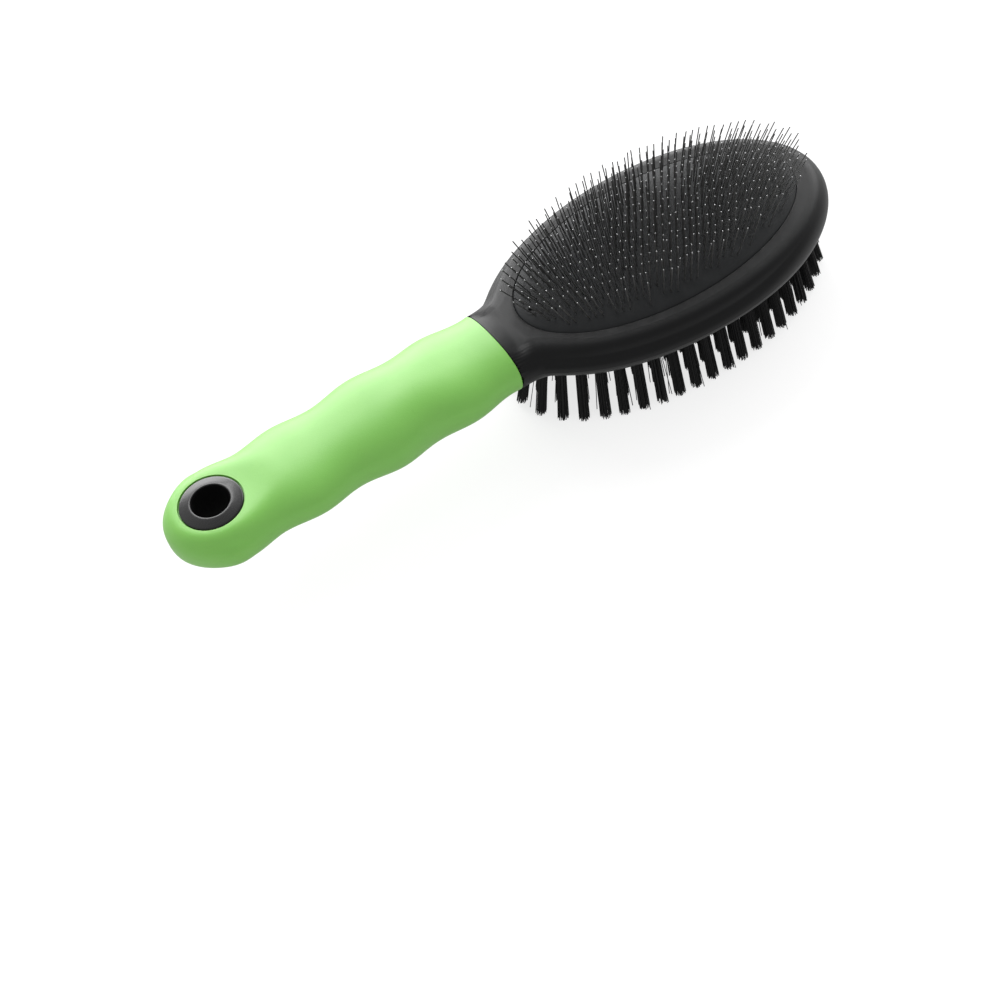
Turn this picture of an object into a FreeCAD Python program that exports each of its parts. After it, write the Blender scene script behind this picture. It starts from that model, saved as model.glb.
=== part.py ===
"""Double-sided grooming brush: a hanging-hole handle with a soft grip, and an oval head with an
air-cushioned pad of wire pins on one side and tufts of nylon filament on the other.

Frame: the origin is the centre of the hanging hole at half thickness. +X runs from the handle
to the head, +Z points out of the pin side, and the tufts point down. Sizes are in millimetres.
"""
import FreeCAD, Part
import Sketcher
import math
import os

Vector = FreeCAD.Vector
UP = Vector(0, 0, 1)

SIZES = {
    # hanging ring
    "hole_radius": 5.25,
    "ring_wall": 1.75,
    "bezel_radius": 8.7,
    "bezel_seat": 6.2,
    "bezel_top": 7.6,
    "bezel_edge": 0.7,
    "bezel_groove": 0.35,
    "ring_fit": 0.05,
    # grip sleeve
    "butt_reach": 14.5,
    "neck_place": 89.0,
    "neck_gap": 0.2,
    "grip_half_width": 14.95,
    "grip_half_height": 7.6,
    "wave_depth": 0.8,
    "wave_pitch": 24.5,
    "belly_rise": 2.2,
    "belly_place": 57.0,
    "belly_spread": 17.0,
    # handle tang inside the grip
    "tang_half_width": 10.2,
    "tang_half_height": 5.0,
    "tang_wall": 2.2,
    "tang_pocket_start": 14.0,
    "tang_root": 4.0,
    # head outline and thickness
    "head_centre": 148.0,
    "head_front_reach": 55.0,
    "head_back_reach": 58.5,
    "head_half_width": 33.7,
    "neck_half_width": 14.5,
    "neck_half_height": 7.3,
    "plateau_height": 6.4,
    "crease_place": 96.3,
    "crease_runout": 6.0,
    "saddle_height": 3.2,
    # pin pad
    "pad_centre": 146.2,
    "pad_half_length": 46.8,
    "pad_half_width": 24.5,
    "pad_gap": 0.3,
    "plateau_wall": 2.0,
    "flange_width": 1.4,
    "flange_thickness": 1.2,
    "pad_rim_height": 0.2,
    "dome_rise": 3.2,
    "dome_drop": 0.8,
    "membrane": 1.3,
    "pad_side_wall": 1.5,
    "backing_thickness": 0.5,
    "vent_radius": 0.9,
    "vent_inset": 3.2,
    "press_travel": 2.0,
    # tray under the pad
    "tray_thickness": 1.6,
    "tray_recess": 0.6,
    "shell_fit": 0.2,
    "lip_width": 1.2,
    "post_radius": 2.4,
    "post_spacing": 46.0,
    "post_root": 0.5,
    # wire pins
    "wire_radius": 0.17,
    "pin_length": 11.4,
    "pin_column_pitch": 1.75,
    "pin_row_pitch": 3.1,
    "pin_field_margin": 2.2,
    "pin_vent_clear": 0.9,
    "staple_grip": 2.1,
    "fan_side": 10.0,
    "fan_tip": 44.0,
    "fan_neck": 34.0,
    # bristle block and tufts
    "block_thickness": 5.2,
    "tuft_hole_radius": 1.5,
    "tuft_fit": 0.04,
    "tuft_flare": 0.2,
    "tuft_depth": 4.4,
    "tuft_length": 19.6,
    "tuft_centre": 148.2,
    "tuft_ring_half_length": 48.2,
    "tuft_ring_half_width": 23.7,
    "tuft_ring_step": 5.6,
    "tuft_pitch": 5.28,
    "tuft_lean": 15.0,
    "anchor_height": 1.2,
    "anchor_thickness": 0.3,
    # how far a cutting tool runs past what it cuts
    "cut_clear": 1.0,
}

GRIP_POWER = 2.3      # roundness of the grip's section, 2 is an ellipse
NECK_POWER = 6.0      # how tightly the oval runs into the neck
FAN_POWER = 1.5       # how late the pins lean over on the way to either end of the pad
TWILL = 4             # columns of pins after which their shifted pattern starts again
DOME_SPREAD = 1.032   # the dome's ellipsoid against the pad's outline, where they meet
SECTION_POINTS = 24   # points round a section of the grip
WAVE_SECTIONS = 6     # sections of the grip in one finger wave
OUTLINE_STEPS = 9     # points of the head's outline in a quarter of its oval
ELLIPSE_STEPS = 720   # chords of an ellipse when it is measured
SLOPE_STEP = 0.01     # millimetres between the two points that give an outline's slope
TIP_SHARE = 0.999     # share of the front reach past which the outline points straight ahead
PIN_BANDS = ("neck", "heel", "toe", "tip")

# Shares of the butt's reach at which its round end has a section.
BUTT_SECTIONS = (0.995, 0.96, 0.88, 0.74, 0.5, 0.25)

# The neck's bar from the handle to the crease: share of the way, and its width and height as
# shares of the neck's. It ends inside the head, past the crease, at the last pair.
NECK_BAR = ((0.0, 1.0, 1.0), (0.45, 1.02, 0.87), (1.0, 1.1, 0.8))
NECK_BAR_END = (1.22, 0.6)

# Height of the head's edge profile as a share of the plateau height, with its inset in millimetres
# from the widest outline: a round rim bead, a shallow valley, then a shoulder up to the plateau.
EDGE_PROFILE = ((0.0, 0.0), (0.17, 0.2), (0.32, 0.8), (0.42, 1.6), (0.5, 2.15),
                (0.64, 2.5), (0.79, 3.0), (0.9, 3.7), (0.965, 4.6), (1.0, 6.0))

doc = FreeCAD.newDocument("grooming_brush")
sheet = doc.addObject("Spreadsheet::Sheet", "Sizes")
for row, (name, value) in enumerate(SIZES.items(), start=1):
    sheet.set("A%d" % row, name)
    sheet.set("B%d" % row, str(value))
    sheet.setAlias("B%d" % row, name)
doc.recompute()


def size(name):
    return float(sheet.get(name))


def bind(thing, **sizes):
    """Tie properties of an object to sheet expressions; a double underscore stands for a dot."""
    for prop, expression in sizes.items():
        thing.setExpression(prop.replace("__", "."), expression)
    return thing


def feature(name, shape):
    """A document object that holds a shape worked out from the sheet by Part's own functions."""
    thing = doc.addObject("Part::Feature", name)
    thing.Shape = shape
    return thing


def oval(name, centre, half_length, half_width, floor, height):
    """An upright oval slug: an ellipse on the pad's axis, extruded upwards."""
    ellipse = doc.addObject("Part::Ellipse", name + "_outline")
    bind(ellipse, MajorRadius=half_length, MinorRadius=half_width,
         Placement__Base__x=centre, Placement__Base__z=floor)
    slug = doc.addObject("Part::Extrusion", name)
    slug.Base = ellipse
    slug.DirMode = "Custom"
    slug.Dir = UP
    slug.Solid = True
    bind(slug, LengthFwd=height)
    return slug


def cut(name, base, tool):
    thing = doc.addObject("Part::Cut", name)
    thing.Base = base
    thing.Tool = tool
    return thing


def fuse(name, parts):
    thing = doc.addObject("Part::MultiFuse", name)
    thing.Shapes = parts
    return thing


def common(name, parts):
    thing = doc.addObject("Part::MultiCommon", name)
    thing.Shapes = parts
    return thing


def mirrored(name, source):
    """The same piece on the other side of the middle plane."""
    thing = doc.addObject("Part::Mirroring", name)
    thing.Source = source
    thing.Normal = UP
    return thing


# ---------------------------------------------------------------- outlines worked out by formula

def head_half_width_at(x):
    """Half-width of the head and neck at x: an oval that runs smoothly into the neck."""
    reach = size("head_front_reach") if x > size("head_centre") else size("head_back_reach")
    along = min(1.0, abs(x - size("head_centre")) / reach)
    oval_width = size("head_half_width") * math.sqrt(1.0 - along ** 2)
    if x > size("head_centre"):
        return oval_width
    towards_neck = (size("head_centre") - x) / (size("head_centre") - size("neck_place"))
    neck = size("neck_half_width") * min(1.0, towards_neck)
    return (oval_width ** NECK_POWER + neck ** NECK_POWER) ** (1.0 / NECK_POWER)


def head_outline(inset, height):
    """A closed wire at one height: the head's outline moved inwards, open side closed at the neck."""
    centre, neck = size("head_centre"), size("neck_place")
    front = size("head_front_reach")
    angles = [0.5 * math.pi * step / OUTLINE_STEPS for step in range(OUTLINE_STEPS)]
    stations = [centre + front * math.cos(angle) for angle in angles]
    spacing = (centre - neck) / OUTLINE_STEPS
    stations += [centre - spacing * step for step in range(OUTLINE_STEPS + 1)]
    upper = []
    for x in stations:
        y = head_half_width_at(x)
        if x > centre + TIP_SHARE * front:
            upper.append(Vector(x - inset, 0, height))
            continue
        rise = head_half_width_at(x + SLOPE_STEP) - head_half_width_at(x - SLOPE_STEP)
        slope = rise / (2.0 * SLOPE_STEP)
        length = math.hypot(1.0, slope)
        upper.append(Vector(x + inset * slope / length, y - inset / length, height))
    last = upper[-1]
    upper[-1] = Vector(neck, last.y, height)
    lower = [Vector(p.x, -p.y, p.z) for p in reversed(upper[1:])]
    curve = Part.BSplineCurve()
    curve.interpolate(lower + upper)
    closing = Part.makeLine(upper[-1], lower[0])
    return Part.Wire([curve.toShape(), closing])


def round_section(x, half_width, half_height):
    """A closed wire across the handle: a superellipse, fuller than an ellipse."""
    points = []
    for step in range(SECTION_POINTS):
        angle = 2.0 * math.pi * step / SECTION_POINTS
        c, s = math.cos(angle), math.sin(angle)
        y = half_width * math.copysign(abs(c) ** (2.0 / GRIP_POWER), c)
        z = half_height * math.copysign(abs(s) ** (2.0 / GRIP_POWER), s)
        points.append(Vector(x, y, z))
    curve = Part.BSplineCurve()
    curve.interpolate(points, PeriodicFlag=True)
    return Part.Wire([curve.toShape()])


def grip_size_at(x):
    """Half-width and half-height of the grip at x: finger waves, a belly, and a round butt."""
    wave = size("wave_depth") * math.cos(2.0 * math.pi * x / size("wave_pitch"))
    half_width = size("grip_half_width") + wave
    rise = size("belly_rise") * math.exp(-((x - size("belly_place")) / size("belly_spread")) ** 2)
    half_height = size("grip_half_height") + rise
    if x < 0:
        along = min(1.0, -x / size("butt_reach"))
        half_width *= math.sqrt(1.0 - along ** 2)
        half_height *= (1.0 - along ** 3) ** (1.0 / 3.0)
    return half_width, half_height


# ---------------------------------------------------------------- handle pieces

def origin_plane(body, role):
    return [item for item in body.Origin.OriginFeatures if item.Role == role][0]


def new_sketch(body, name, role):
    sketch = body.newObject("Sketcher::SketchObject", name)
    sketch.AttachmentSupport = [(origin_plane(body, role), "")]
    sketch.MapMode = "FlatFace"
    return sketch


def dimension(sketch, expression, *constraint):
    """A driving dimension of a sketch, tied to the sheet."""
    index = sketch.addConstraint(Sketcher.Constraint(*constraint))
    sketch.setExpression("Constraints[%d]" % index, expression)


def tang_bar():
    """Half of the handle core: a bar with a round end about the ring, hollow at the middle plane."""
    body = doc.addObject("PartDesign::Body", "TangBar")
    outline = new_sketch(body, "TangOutline", "XY_Plane")
    quarter = math.pi / 2.0
    radius, reach = size("tang_half_width"), size("neck_place") + size("tang_root")
    end_arc = Part.ArcOfCircle(Part.Circle(Vector(0, 0, 0), UP, radius), quarter, 3 * quarter)
    corners = [Vector(0, -radius, 0), Vector(reach, -radius, 0),
               Vector(reach, radius, 0), Vector(0, radius, 0)]
    outline.addGeometry(end_arc, False)
    for start, end in zip(corners, corners[1:]):
        outline.addGeometry(Part.LineSegment(start, end), False)
    for constraint in (("Tangent", 0, 2, 1, 1), ("Coincident", 1, 2, 2, 1),
                       ("Coincident", 2, 2, 3, 1), ("Tangent", 3, 2, 0, 1), ("Horizontal", 1),
                       ("Vertical", 2), ("Horizontal", 3), ("Coincident", 0, 3, -1, 1)):
        outline.addConstraint(Sketcher.Constraint(*constraint))
    dimension(outline, "Sizes.tang_half_width", "Radius", 0, radius)
    dimension(outline, "Sizes.neck_place + Sizes.tang_root", "DistanceX", -1, 1, 1, 2, reach)
    bar = body.newObject("PartDesign::Pad", "TangPad")
    bar.Profile = outline
    bind(bar, Length="Sizes.tang_half_height")
    doc.recompute()
    hollow = new_sketch(body, "TangHollow", "XY_Plane")
    start, end = size("tang_pocket_start"), size("neck_place") - size("tang_wall")
    side = radius - size("tang_wall")
    corners = [Vector(start, -side, 0), Vector(end, -side, 0),
               Vector(end, side, 0), Vector(start, side, 0)]
    for index in range(4):
        hollow.addGeometry(Part.LineSegment(corners[index], corners[(index + 1) % 4]), False)
    for index in range(4):
        hollow.addConstraint(Sketcher.Constraint("Coincident", index, 2, (index + 1) % 4, 1))
    for index, direction in enumerate(("Horizontal", "Vertical", "Horizontal")):
        hollow.addConstraint(Sketcher.Constraint(direction, index))
    hollow.addConstraint(Sketcher.Constraint("Symmetric", 0, 1, 3, 1, -1))
    dimension(hollow, "Sizes.tang_pocket_start", "DistanceX", -1, 1, 0, 1, start)
    dimension(hollow, "Sizes.neck_place - Sizes.tang_wall", "DistanceX", -1, 1, 0, 2, end)
    dimension(hollow, "2 * (Sizes.tang_half_width - Sizes.tang_wall)",
              "DistanceY", 0, 1, 3, 1, 2 * side)
    pocket = body.newObject("PartDesign::Pocket", "TangPocket")
    pocket.Profile = hollow
    pocket.Reversed = True
    bind(pocket, Length="Sizes.tang_half_height - Sizes.tang_wall")
    doc.recompute()
    return body


def cylinder(name, radius, floor, height, x="0"):
    thing = doc.addObject("Part::Cylinder", name)
    return bind(thing, Radius=radius, Height=height, Placement__Base__x=x, Placement__Base__z=floor)


def grip_blank():
    """The outside of the grip: sections across the handle from the round butt to the neck."""
    butt = size("butt_reach")
    end = size("neck_place") - size("neck_gap")
    pitch = size("wave_pitch") / WAVE_SECTIONS
    stations = [-butt * share for share in BUTT_SECTIONS]
    count = int(end / pitch)
    stations += [pitch * step for step in range(count)] + [end]
    sections = [Part.Vertex(-butt, 0, 0)]
    sections += [round_section(x, *grip_size_at(x)) for x in stations]
    return Part.makeLoft(sections, True, False)


def grip_sleeve():
    """The soft sleeve: moulded round the tang, with a seat for each half of the hanging ring."""
    blank = feature("GripBlank", grip_blank())
    width, height = "Sizes.tang_half_width", "Sizes.tang_half_height"
    tang_end = cylinder("TangEndSpace", width, "-" + height, "2 * " + height)
    tang_run = doc.addObject("Part::Box", "TangRunSpace")
    bind(tang_run, Length="Sizes.neck_place", Width="2 * " + width, Height="2 * " + height,
         Placement__Base__y="-" + width, Placement__Base__z="-" + height)
    barrel = cylinder("BarrelSpace", "Sizes.hole_radius + Sizes.ring_wall + Sizes.ring_fit",
                      "-2 * Sizes.bezel_top", "4 * Sizes.bezel_top")
    seat = cylinder("BezelSeat", "Sizes.bezel_radius + Sizes.bezel_groove",
                    "Sizes.bezel_seat", "Sizes.bezel_top")
    space = fuse("SleeveSpace", [tang_end, tang_run, barrel, seat, mirrored("BezelSeatBelow", seat)])
    return cut("GripSleeve", blank, space)


def hang_ring():
    """Half of the hanging ring: a barrel pressed into the handle, with a half-round bezel."""
    body = doc.addObject("PartDesign::Body", "HangRing")
    profile = new_sketch(body, "RingProfile", "XZ_Plane")
    inner, barrel = size("hole_radius"), size("hole_radius") + size("ring_wall")
    outer, seat = size("bezel_radius"), size("bezel_seat")
    edge, crown = seat + size("bezel_edge"), size("bezel_top")
    corners = [Vector(inner, edge, 0), Vector(inner, 0, 0), Vector(barrel, 0, 0),
               Vector(barrel, seat, 0), Vector(outer, seat, 0), Vector(outer, edge, 0)]
    for start, end in zip(corners, corners[1:]):
        profile.addGeometry(Part.LineSegment(start, end), False)
    top = Vector((inner + outer) / 2.0, crown, 0)
    profile.addGeometry(Part.Arc(corners[-1], top, corners[0]), False)
    for index in range(len(corners) - 1):
        direction = "Horizontal" if index % 2 else "Vertical"
        profile.addConstraint(Sketcher.Constraint(direction, index))
    for index in range(len(corners)):
        following = (index + 1) % len(corners)
        profile.addConstraint(Sketcher.Constraint("Coincident", index, 2, following, 1))
    profile.addConstraint(Sketcher.Constraint("PointOnObject", 0, 2, -1))
    dimension(profile, "Sizes.hole_radius", "DistanceX", -1, 1, 0, 2, inner)
    dimension(profile, "Sizes.ring_wall", "DistanceX", 1, 1, 1, 2, barrel - inner)
    dimension(profile, "Sizes.bezel_seat", "DistanceY", 2, 1, 2, 2, seat)
    dimension(profile, "Sizes.bezel_radius", "DistanceX", -1, 1, 3, 2, outer)
    dimension(profile, "Sizes.bezel_edge", "DistanceY", 4, 1, 4, 2, edge - seat)
    dimension(profile, "Sizes.bezel_seat + Sizes.bezel_edge", "DistanceY", 0, 2, 0, 1, edge)
    chord = "(Sizes.bezel_radius - Sizes.hole_radius)"
    rise = "(Sizes.bezel_top - Sizes.bezel_seat - Sizes.bezel_edge)"
    radius = "(%s ^ 2 / 4 + %s ^ 2) / (2 * %s)" % (chord, rise, rise)
    crown_radius = ((outer - inner) ** 2 / 4.0 + (crown - edge) ** 2) / (2.0 * (crown - edge))
    dimension(profile, radius, "Radius", 5, crown_radius)
    turned = body.newObject("PartDesign::Revolution", "RingTurned")
    turned.Profile = profile
    turned.ReferenceAxis = (profile, ["V_Axis"])
    turned.Angle = 360.0
    doc.recompute()
    return body


# ---------------------------------------------------------------- head pieces

SEAT = "(Sizes.plateau_height - Sizes.plateau_wall - Sizes.flange_thickness)"
TRAY_FLOOR = "(Sizes.plateau_height - Sizes.plateau_wall - Sizes.flange_thickness - Sizes.tray_recess)"
TRAY_FOOT = "(%s - Sizes.tray_thickness)" % TRAY_FLOOR
DOME_BASE = "(Sizes.plateau_height - Sizes.dome_drop)"
BLOCK_TOP = "(Sizes.block_thickness - Sizes.plateau_height)"


def pad_oval(name, growth, floor, height):
    """An oval slug that follows the pad's outline, grown by an expression in millimetres."""
    return oval(name, "Sizes.pad_centre", "Sizes.pad_half_length + (%s)" % growth,
                "Sizes.pad_half_width + (%s)" % growth, floor, height)


def head_half():
    """One side of the head, solid: the edge profile, a saddle at the neck and the crease between."""
    height = size("plateau_height")
    levels = [head_outline(inset, share * height) for share, inset in EDGE_PROFILE]
    edge = Part.makeLoft(levels, True, True)
    neck, crease = size("neck_place"), size("crease_place")
    saddle, clear = size("saddle_height"), size("cut_clear")
    start, side = neck - clear, 2.0 * size("head_half_width")
    corners = ((start, saddle), (crease - (height - saddle), saddle),
               (crease + clear, height + clear), (start, height + clear), (start, saddle))
    wedge = Part.makePolygon([Vector(x, -side, z) for x, z in corners])
    edge = edge.cut(Part.Face(wedge).extrude(Vector(0, 2.0 * side, 0)))
    width, rise = size("neck_half_width"), size("neck_half_height")
    end = crease + size("crease_runout")
    sections = [(neck + share * (crease - neck), wide, tall) for share, wide, tall in NECK_BAR]
    sections.append((end,) + NECK_BAR_END)
    bar = Part.makeLoft([round_section(x, width * wide, rise * tall) for x, wide, tall in sections],
                        True, False)
    upper = Part.makeBox(end - start + clear, 2.0 * side, 2.0 * rise, Vector(start, -side, 0))
    return edge.fuse(bar.common(upper)).removeSplitter()


def pin_side_shell(half, bar, hole):
    """The moulded half with the pad's opening: head wall, neck and half of the handle core."""
    blank = fuse("PinSideBlank", [half, bar])
    cavity = pad_oval("PadCavity", "Sizes.flange_width + Sizes.pad_gap", "-Sizes.cut_clear",
                      "Sizes.cut_clear + Sizes.plateau_height - Sizes.plateau_wall")
    opening = pad_oval("PadOpening", "Sizes.pad_gap", "0", "3 * Sizes.plateau_height")
    return cut("PinSideShell", blank, fuse("PinSideSpaces", [cavity, opening, hole]))


def bristle_side_shell(half, bar, hole, tuft_holes):
    """The moulded half with the drilled block: it carries the tufts, the tray's lip and posts."""
    blank = fuse("BristleSideBlank", [mirrored("HeadHalfBelow", half), mirrored("TangBarBelow", bar)])
    fit = "Sizes.flange_width + Sizes.pad_gap - Sizes.shell_fit"
    hollow = pad_oval("BlockHollow", fit + " - Sizes.lip_width", BLOCK_TOP, "3 * Sizes.plateau_height")
    lip = pad_oval("LipOutside", fit, "-Sizes.shell_fit", TRAY_FOOT + " + Sizes.shell_fit")
    walls = fuse("BristleSideWalls", [blank, lip])
    carved = cut("BristleSideCarved", walls, fuse("BristleSideSpaces", [hollow, hole]))
    posts = [cylinder("TrayPost%s" % label, "Sizes.post_radius", BLOCK_TOP + " - Sizes.post_root",
                      TRAY_FOOT + " - " + BLOCK_TOP + " + Sizes.post_root",
                      "Sizes.pad_centre + " + offset)
             for label, offset in (("Heel", "(-Sizes.post_spacing / 2)"), ("Middle", "0"),
                                   ("Toe", "(Sizes.post_spacing / 2)"))]
    return cut("BristleSideShell", fuse("BristleSidePosted", [carved] + posts), tuft_holes)


def cushion_tray():
    """The stiff tray that clamps the cushion's flange and closes its air chamber."""
    plate = pad_oval("TrayPlate", "Sizes.flange_width + Sizes.pad_gap - Sizes.shell_fit", TRAY_FOOT,
                     SEAT + " - " + TRAY_FOOT)
    recess = pad_oval("TrayRecess", "-Sizes.pad_side_wall", TRAY_FLOOR, "Sizes.plateau_height")
    return cut("CushionTray", plate, recess)


def dome(name, half_length, half_width, rise):
    thing = doc.addObject("Part::Ellipsoid", name)
    return bind(thing, Radius1=rise, Radius2=half_length, Radius3=half_width,
                Placement__Base__x="Sizes.pad_centre", Placement__Base__z=DOME_BASE)


def cushion(under_dome):
    """The domed rubber cushion: a clamped flange, a side wall through the opening, and the dome."""
    spread = "* %g" % DOME_SPREAD
    flange = pad_oval("CushionFlange", "Sizes.flange_width", SEAT, "Sizes.flange_thickness")
    wall = pad_oval("CushionWall", "0", SEAT, DOME_BASE + " - " + SEAT)
    top = common("CushionTop", [
        pad_oval("CushionTopSpace", "0", DOME_BASE, "2 * Sizes.plateau_height"),
        dome("OuterDome", "Sizes.pad_half_length " + spread, "Sizes.pad_half_width " + spread,
             "Sizes.dome_rise + Sizes.dome_drop")])
    chamber = pad_oval("AirChamber", "-Sizes.pad_side_wall", SEAT + " - Sizes.cut_clear",
                       DOME_BASE + " - " + SEAT + " + Sizes.cut_clear")
    vent = cylinder("Vent", "Sizes.vent_radius", "0", "4 * Sizes.plateau_height",
                    "Sizes.pad_centre - Sizes.pad_half_length + Sizes.vent_inset")
    solid = fuse("CushionSolid", [flange, wall, top])
    return cut("PinCushion", solid, fuse("CushionSpaces", [chamber, under_dome, vent]))


def cushion_backing(under_dome):
    """The woven backing under the rubber, which holds the staples' crowns."""
    space = pad_oval("BackingSpace", "0", DOME_BASE, "2 * Sizes.plateau_height")
    inner = dome("BackingUnderside",
                 "Sizes.pad_half_length - Sizes.pad_side_wall - Sizes.backing_thickness",
                 "Sizes.pad_half_width - Sizes.pad_side_wall - Sizes.backing_thickness",
                 "Sizes.dome_rise + Sizes.dome_drop - Sizes.membrane - Sizes.backing_thickness")
    return cut("CushionBacking", common("BackingCap", [space, under_dome]), inner)


def pin_direction(x, y, half_length, half_width):
    """The way a pin points: upright in the middle of the pad, fanned out towards its edge."""
    along, across = (x - size("pad_centre")) / half_length, y / half_width
    end = size("fan_tip") if along > 0 else size("fan_neck")
    lengthways = math.radians(end) * math.copysign(abs(along) ** FAN_POWER, along)
    sideways = math.radians(size("fan_side")) * across
    return Vector(math.tan(lengthways), math.tan(sideways), 1).normalize()


def dome_height_at(x, y):
    """Height of the cushion's outer surface."""
    along = (x - size("pad_centre")) / (size("pad_half_length") * DOME_SPREAD)
    across = y / (size("pad_half_width") * DOME_SPREAD)
    rise = size("dome_rise") + size("dome_drop")
    flat = max(0.0, 1.0 - along ** 2 - across ** 2)
    return size("plateau_height") - size("dome_drop") + rise * math.sqrt(flat)


def staple(first, second, half_length, half_width):
    """One bent wire: two pins in one plane, joined by a crown that lies under the backing."""
    feet = [Vector(x, y, dome_height_at(x, y)) for x, y in (first, second)]
    ways = [pin_direction(x, y, half_length, half_width) for x, y in (first, second)]
    across = (feet[1] - feet[0]).cross(ways[0] + ways[1]).normalize()
    ways = [(way - across * way.dot(across)).normalize() for way in ways]
    tips = [foot + way * size("pin_length") for foot, way in zip(feet, ways)]
    roots = [foot - way * size("staple_grip") for foot, way in zip(feet, ways)]
    path = Part.makePolygon([tips[0], roots[0], roots[1], tips[1]])
    circle = Part.Wire([Part.makeCircle(size("wire_radius"), tips[0], roots[0] - tips[0])])
    return path.makePipeShell([circle], True, False, 1)


def pin_staples():
    """All the staples, by column from the neck to the tip, in bands of equal length.

    Each column is shifted against the one before it, as on woven card cloth. No wire stands in the
    vent, and the outermost leg of a column is left off where it has no partner.
    """
    margin = size("pin_field_margin")
    half_length, half_width = size("pad_half_length") - margin, size("pad_half_width") - margin
    pitch, row = size("pin_column_pitch"), size("pin_row_pitch")
    vent = size("pad_centre") - size("pad_half_length") + size("vent_inset")
    vent_space = size("vent_radius") + size("pin_vent_clear") + size("wire_radius")
    columns = int(half_length / pitch)
    bands = [[] for band in PIN_BANDS]
    for column in range(-columns, columns + 1):
        x = size("pad_centre") + column * pitch
        reach = half_width * math.sqrt(max(0.0, 1.0 - (column * pitch / half_length) ** 2))
        shift = -row * (column % TWILL) / TWILL
        count = int(reach / row) + 2
        legs = [step * row + shift for step in range(-count, count + 1)]
        legs = [y for y in legs if abs(y) <= reach and math.hypot(x - vent, y) > vent_space]
        if len(legs) % 2:
            legs.remove(max(legs, key=abs))
        band = min(len(PIN_BANDS) - 1, (column + columns) * len(PIN_BANDS) // (2 * columns + 1))
        for low, high in zip(legs[0::2], legs[1::2]):
            bands[band].append(staple((x, low), (x, high), half_length, half_width))
    return bands


# ---------------------------------------------------------------- tufts

def ring_points(half_length, half_width, pitch):
    """Points evenly spaced round an ellipse from its tip, with the outward normal at each."""
    angles = [2.0 * math.pi * step / ELLIPSE_STEPS for step in range(ELLIPSE_STEPS + 1)]
    places = [(half_length * math.cos(a), half_width * math.sin(a)) for a in angles]
    lengths = [0.0]
    for (x0, y0), (x1, y1) in zip(places, places[1:]):
        lengths.append(lengths[-1] + math.hypot(x1 - x0, y1 - y0))
    count = 2 * round(lengths[-1] / pitch / 2.0)
    points = []
    for index in range(count):
        target = index * lengths[-1] / count
        step = next(i for i, length in enumerate(lengths) if length >= target)
        x, y = places[step]
        normal = Vector(x / half_length ** 2, y / half_width ** 2, 0)
        normal.normalize()
        points.append((x, y, normal))
    return points


def tuft_layout():
    """Nested ovals of tufts and a middle row: for each, the places and the way the tufts point."""
    centre, step = size("tuft_centre"), size("tuft_ring_step")
    half_length, half_width = size("tuft_ring_half_length"), size("tuft_ring_half_width")
    rings = []
    inset = 0.0
    while half_width - inset > step:
        share = (half_width - inset) / half_width
        ring = []
        for x, y, normal in ring_points(half_length - inset, half_width - inset, size("tuft_pitch")):
            lean = math.radians(size("tuft_lean")) * share
            ring.append((Vector(centre + x, y, -size("plateau_height")),
                         normal * math.sin(lean) - UP * math.cos(lean)))
        rings.append(ring)
        inset += step
    reach = half_length - inset
    count = max(1, round(2 * reach / size("tuft_pitch")))
    row = []
    for index in range(count + 1):
        x = reach * (2.0 * index / count - 1.0)
        lean = math.radians(size("tuft_lean")) * x / half_length
        row.append((Vector(centre + x, 0, -size("plateau_height")),
                    Vector(math.sin(lean), 0, -math.cos(lean))))
    rings.append(row)
    return rings


def set_in_hole(shape, place, outward):
    """A copy of a shape drawn up the Z axis from a hole's bottom, put into the hole."""
    across = UP.cross(outward)
    across = Vector(0, 1, 0) if across.Length < 1e-6 else across.normalize()
    third = outward.cross(across)
    bottom = place - outward * size("tuft_depth")
    matrix = FreeCAD.Matrix(across.x, third.x, outward.x, bottom.x,
                            across.y, third.y, outward.y, bottom.y,
                            across.z, third.z, outward.z, bottom.z,
                            0, 0, 0, 1)
    copy = shape.copy()
    copy.Placement = FreeCAD.Placement(matrix).multiply(shape.Placement)
    return copy


def tuft_pattern():
    """One tuft of filaments, folded over its flat anchor at the bottom of the hole."""
    bundle = doc.addObject("Part::Cone", "TuftBundle")
    bind(bundle, Radius1="Sizes.tuft_hole_radius - Sizes.tuft_fit",
         Radius2="Sizes.tuft_hole_radius - Sizes.tuft_fit + Sizes.tuft_flare",
         Height="Sizes.tuft_depth + Sizes.tuft_length")
    anchor = doc.addObject("Part::Box", "TuftAnchor")
    length = "(2 * Sizes.tuft_hole_radius - 2 * Sizes.tuft_fit)"
    bind(anchor, Length=length, Width="Sizes.anchor_thickness", Height="Sizes.anchor_height",
         Placement__Base__x="-%s / 2" % length, Placement__Base__y="-Sizes.anchor_thickness / 2")
    slot = doc.addObject("Part::Box", "AnchorSlot")
    bind(slot, Length="4 * Sizes.tuft_hole_radius", Width="Sizes.anchor_thickness",
         Height="Sizes.anchor_height", Placement__Base__x="-2 * Sizes.tuft_hole_radius",
         Placement__Base__y="-Sizes.anchor_thickness / 2")
    return cut("TuftPattern", bundle, slot), anchor


# ---------------------------------------------------------------- assembly

pieces = {}
bar = tang_bar()
ring = hang_ring()
half = feature("HeadHalf", head_half())
ring_hole = cylinder("RingHole", "Sizes.hole_radius + Sizes.ring_wall + Sizes.ring_fit",
                     "-2 * Sizes.bezel_top", "4 * Sizes.bezel_top")
tuft, anchor = tuft_pattern()
doc.recompute()

layout = tuft_layout()
bore = Part.makeCylinder(size("tuft_hole_radius"), 2 * size("tuft_depth"))
holes = [set_in_hole(bore, place, outward) for circle in layout for place, outward in circle]
tuft_holes = feature("TuftHoles", Part.makeCompound(holes))

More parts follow.
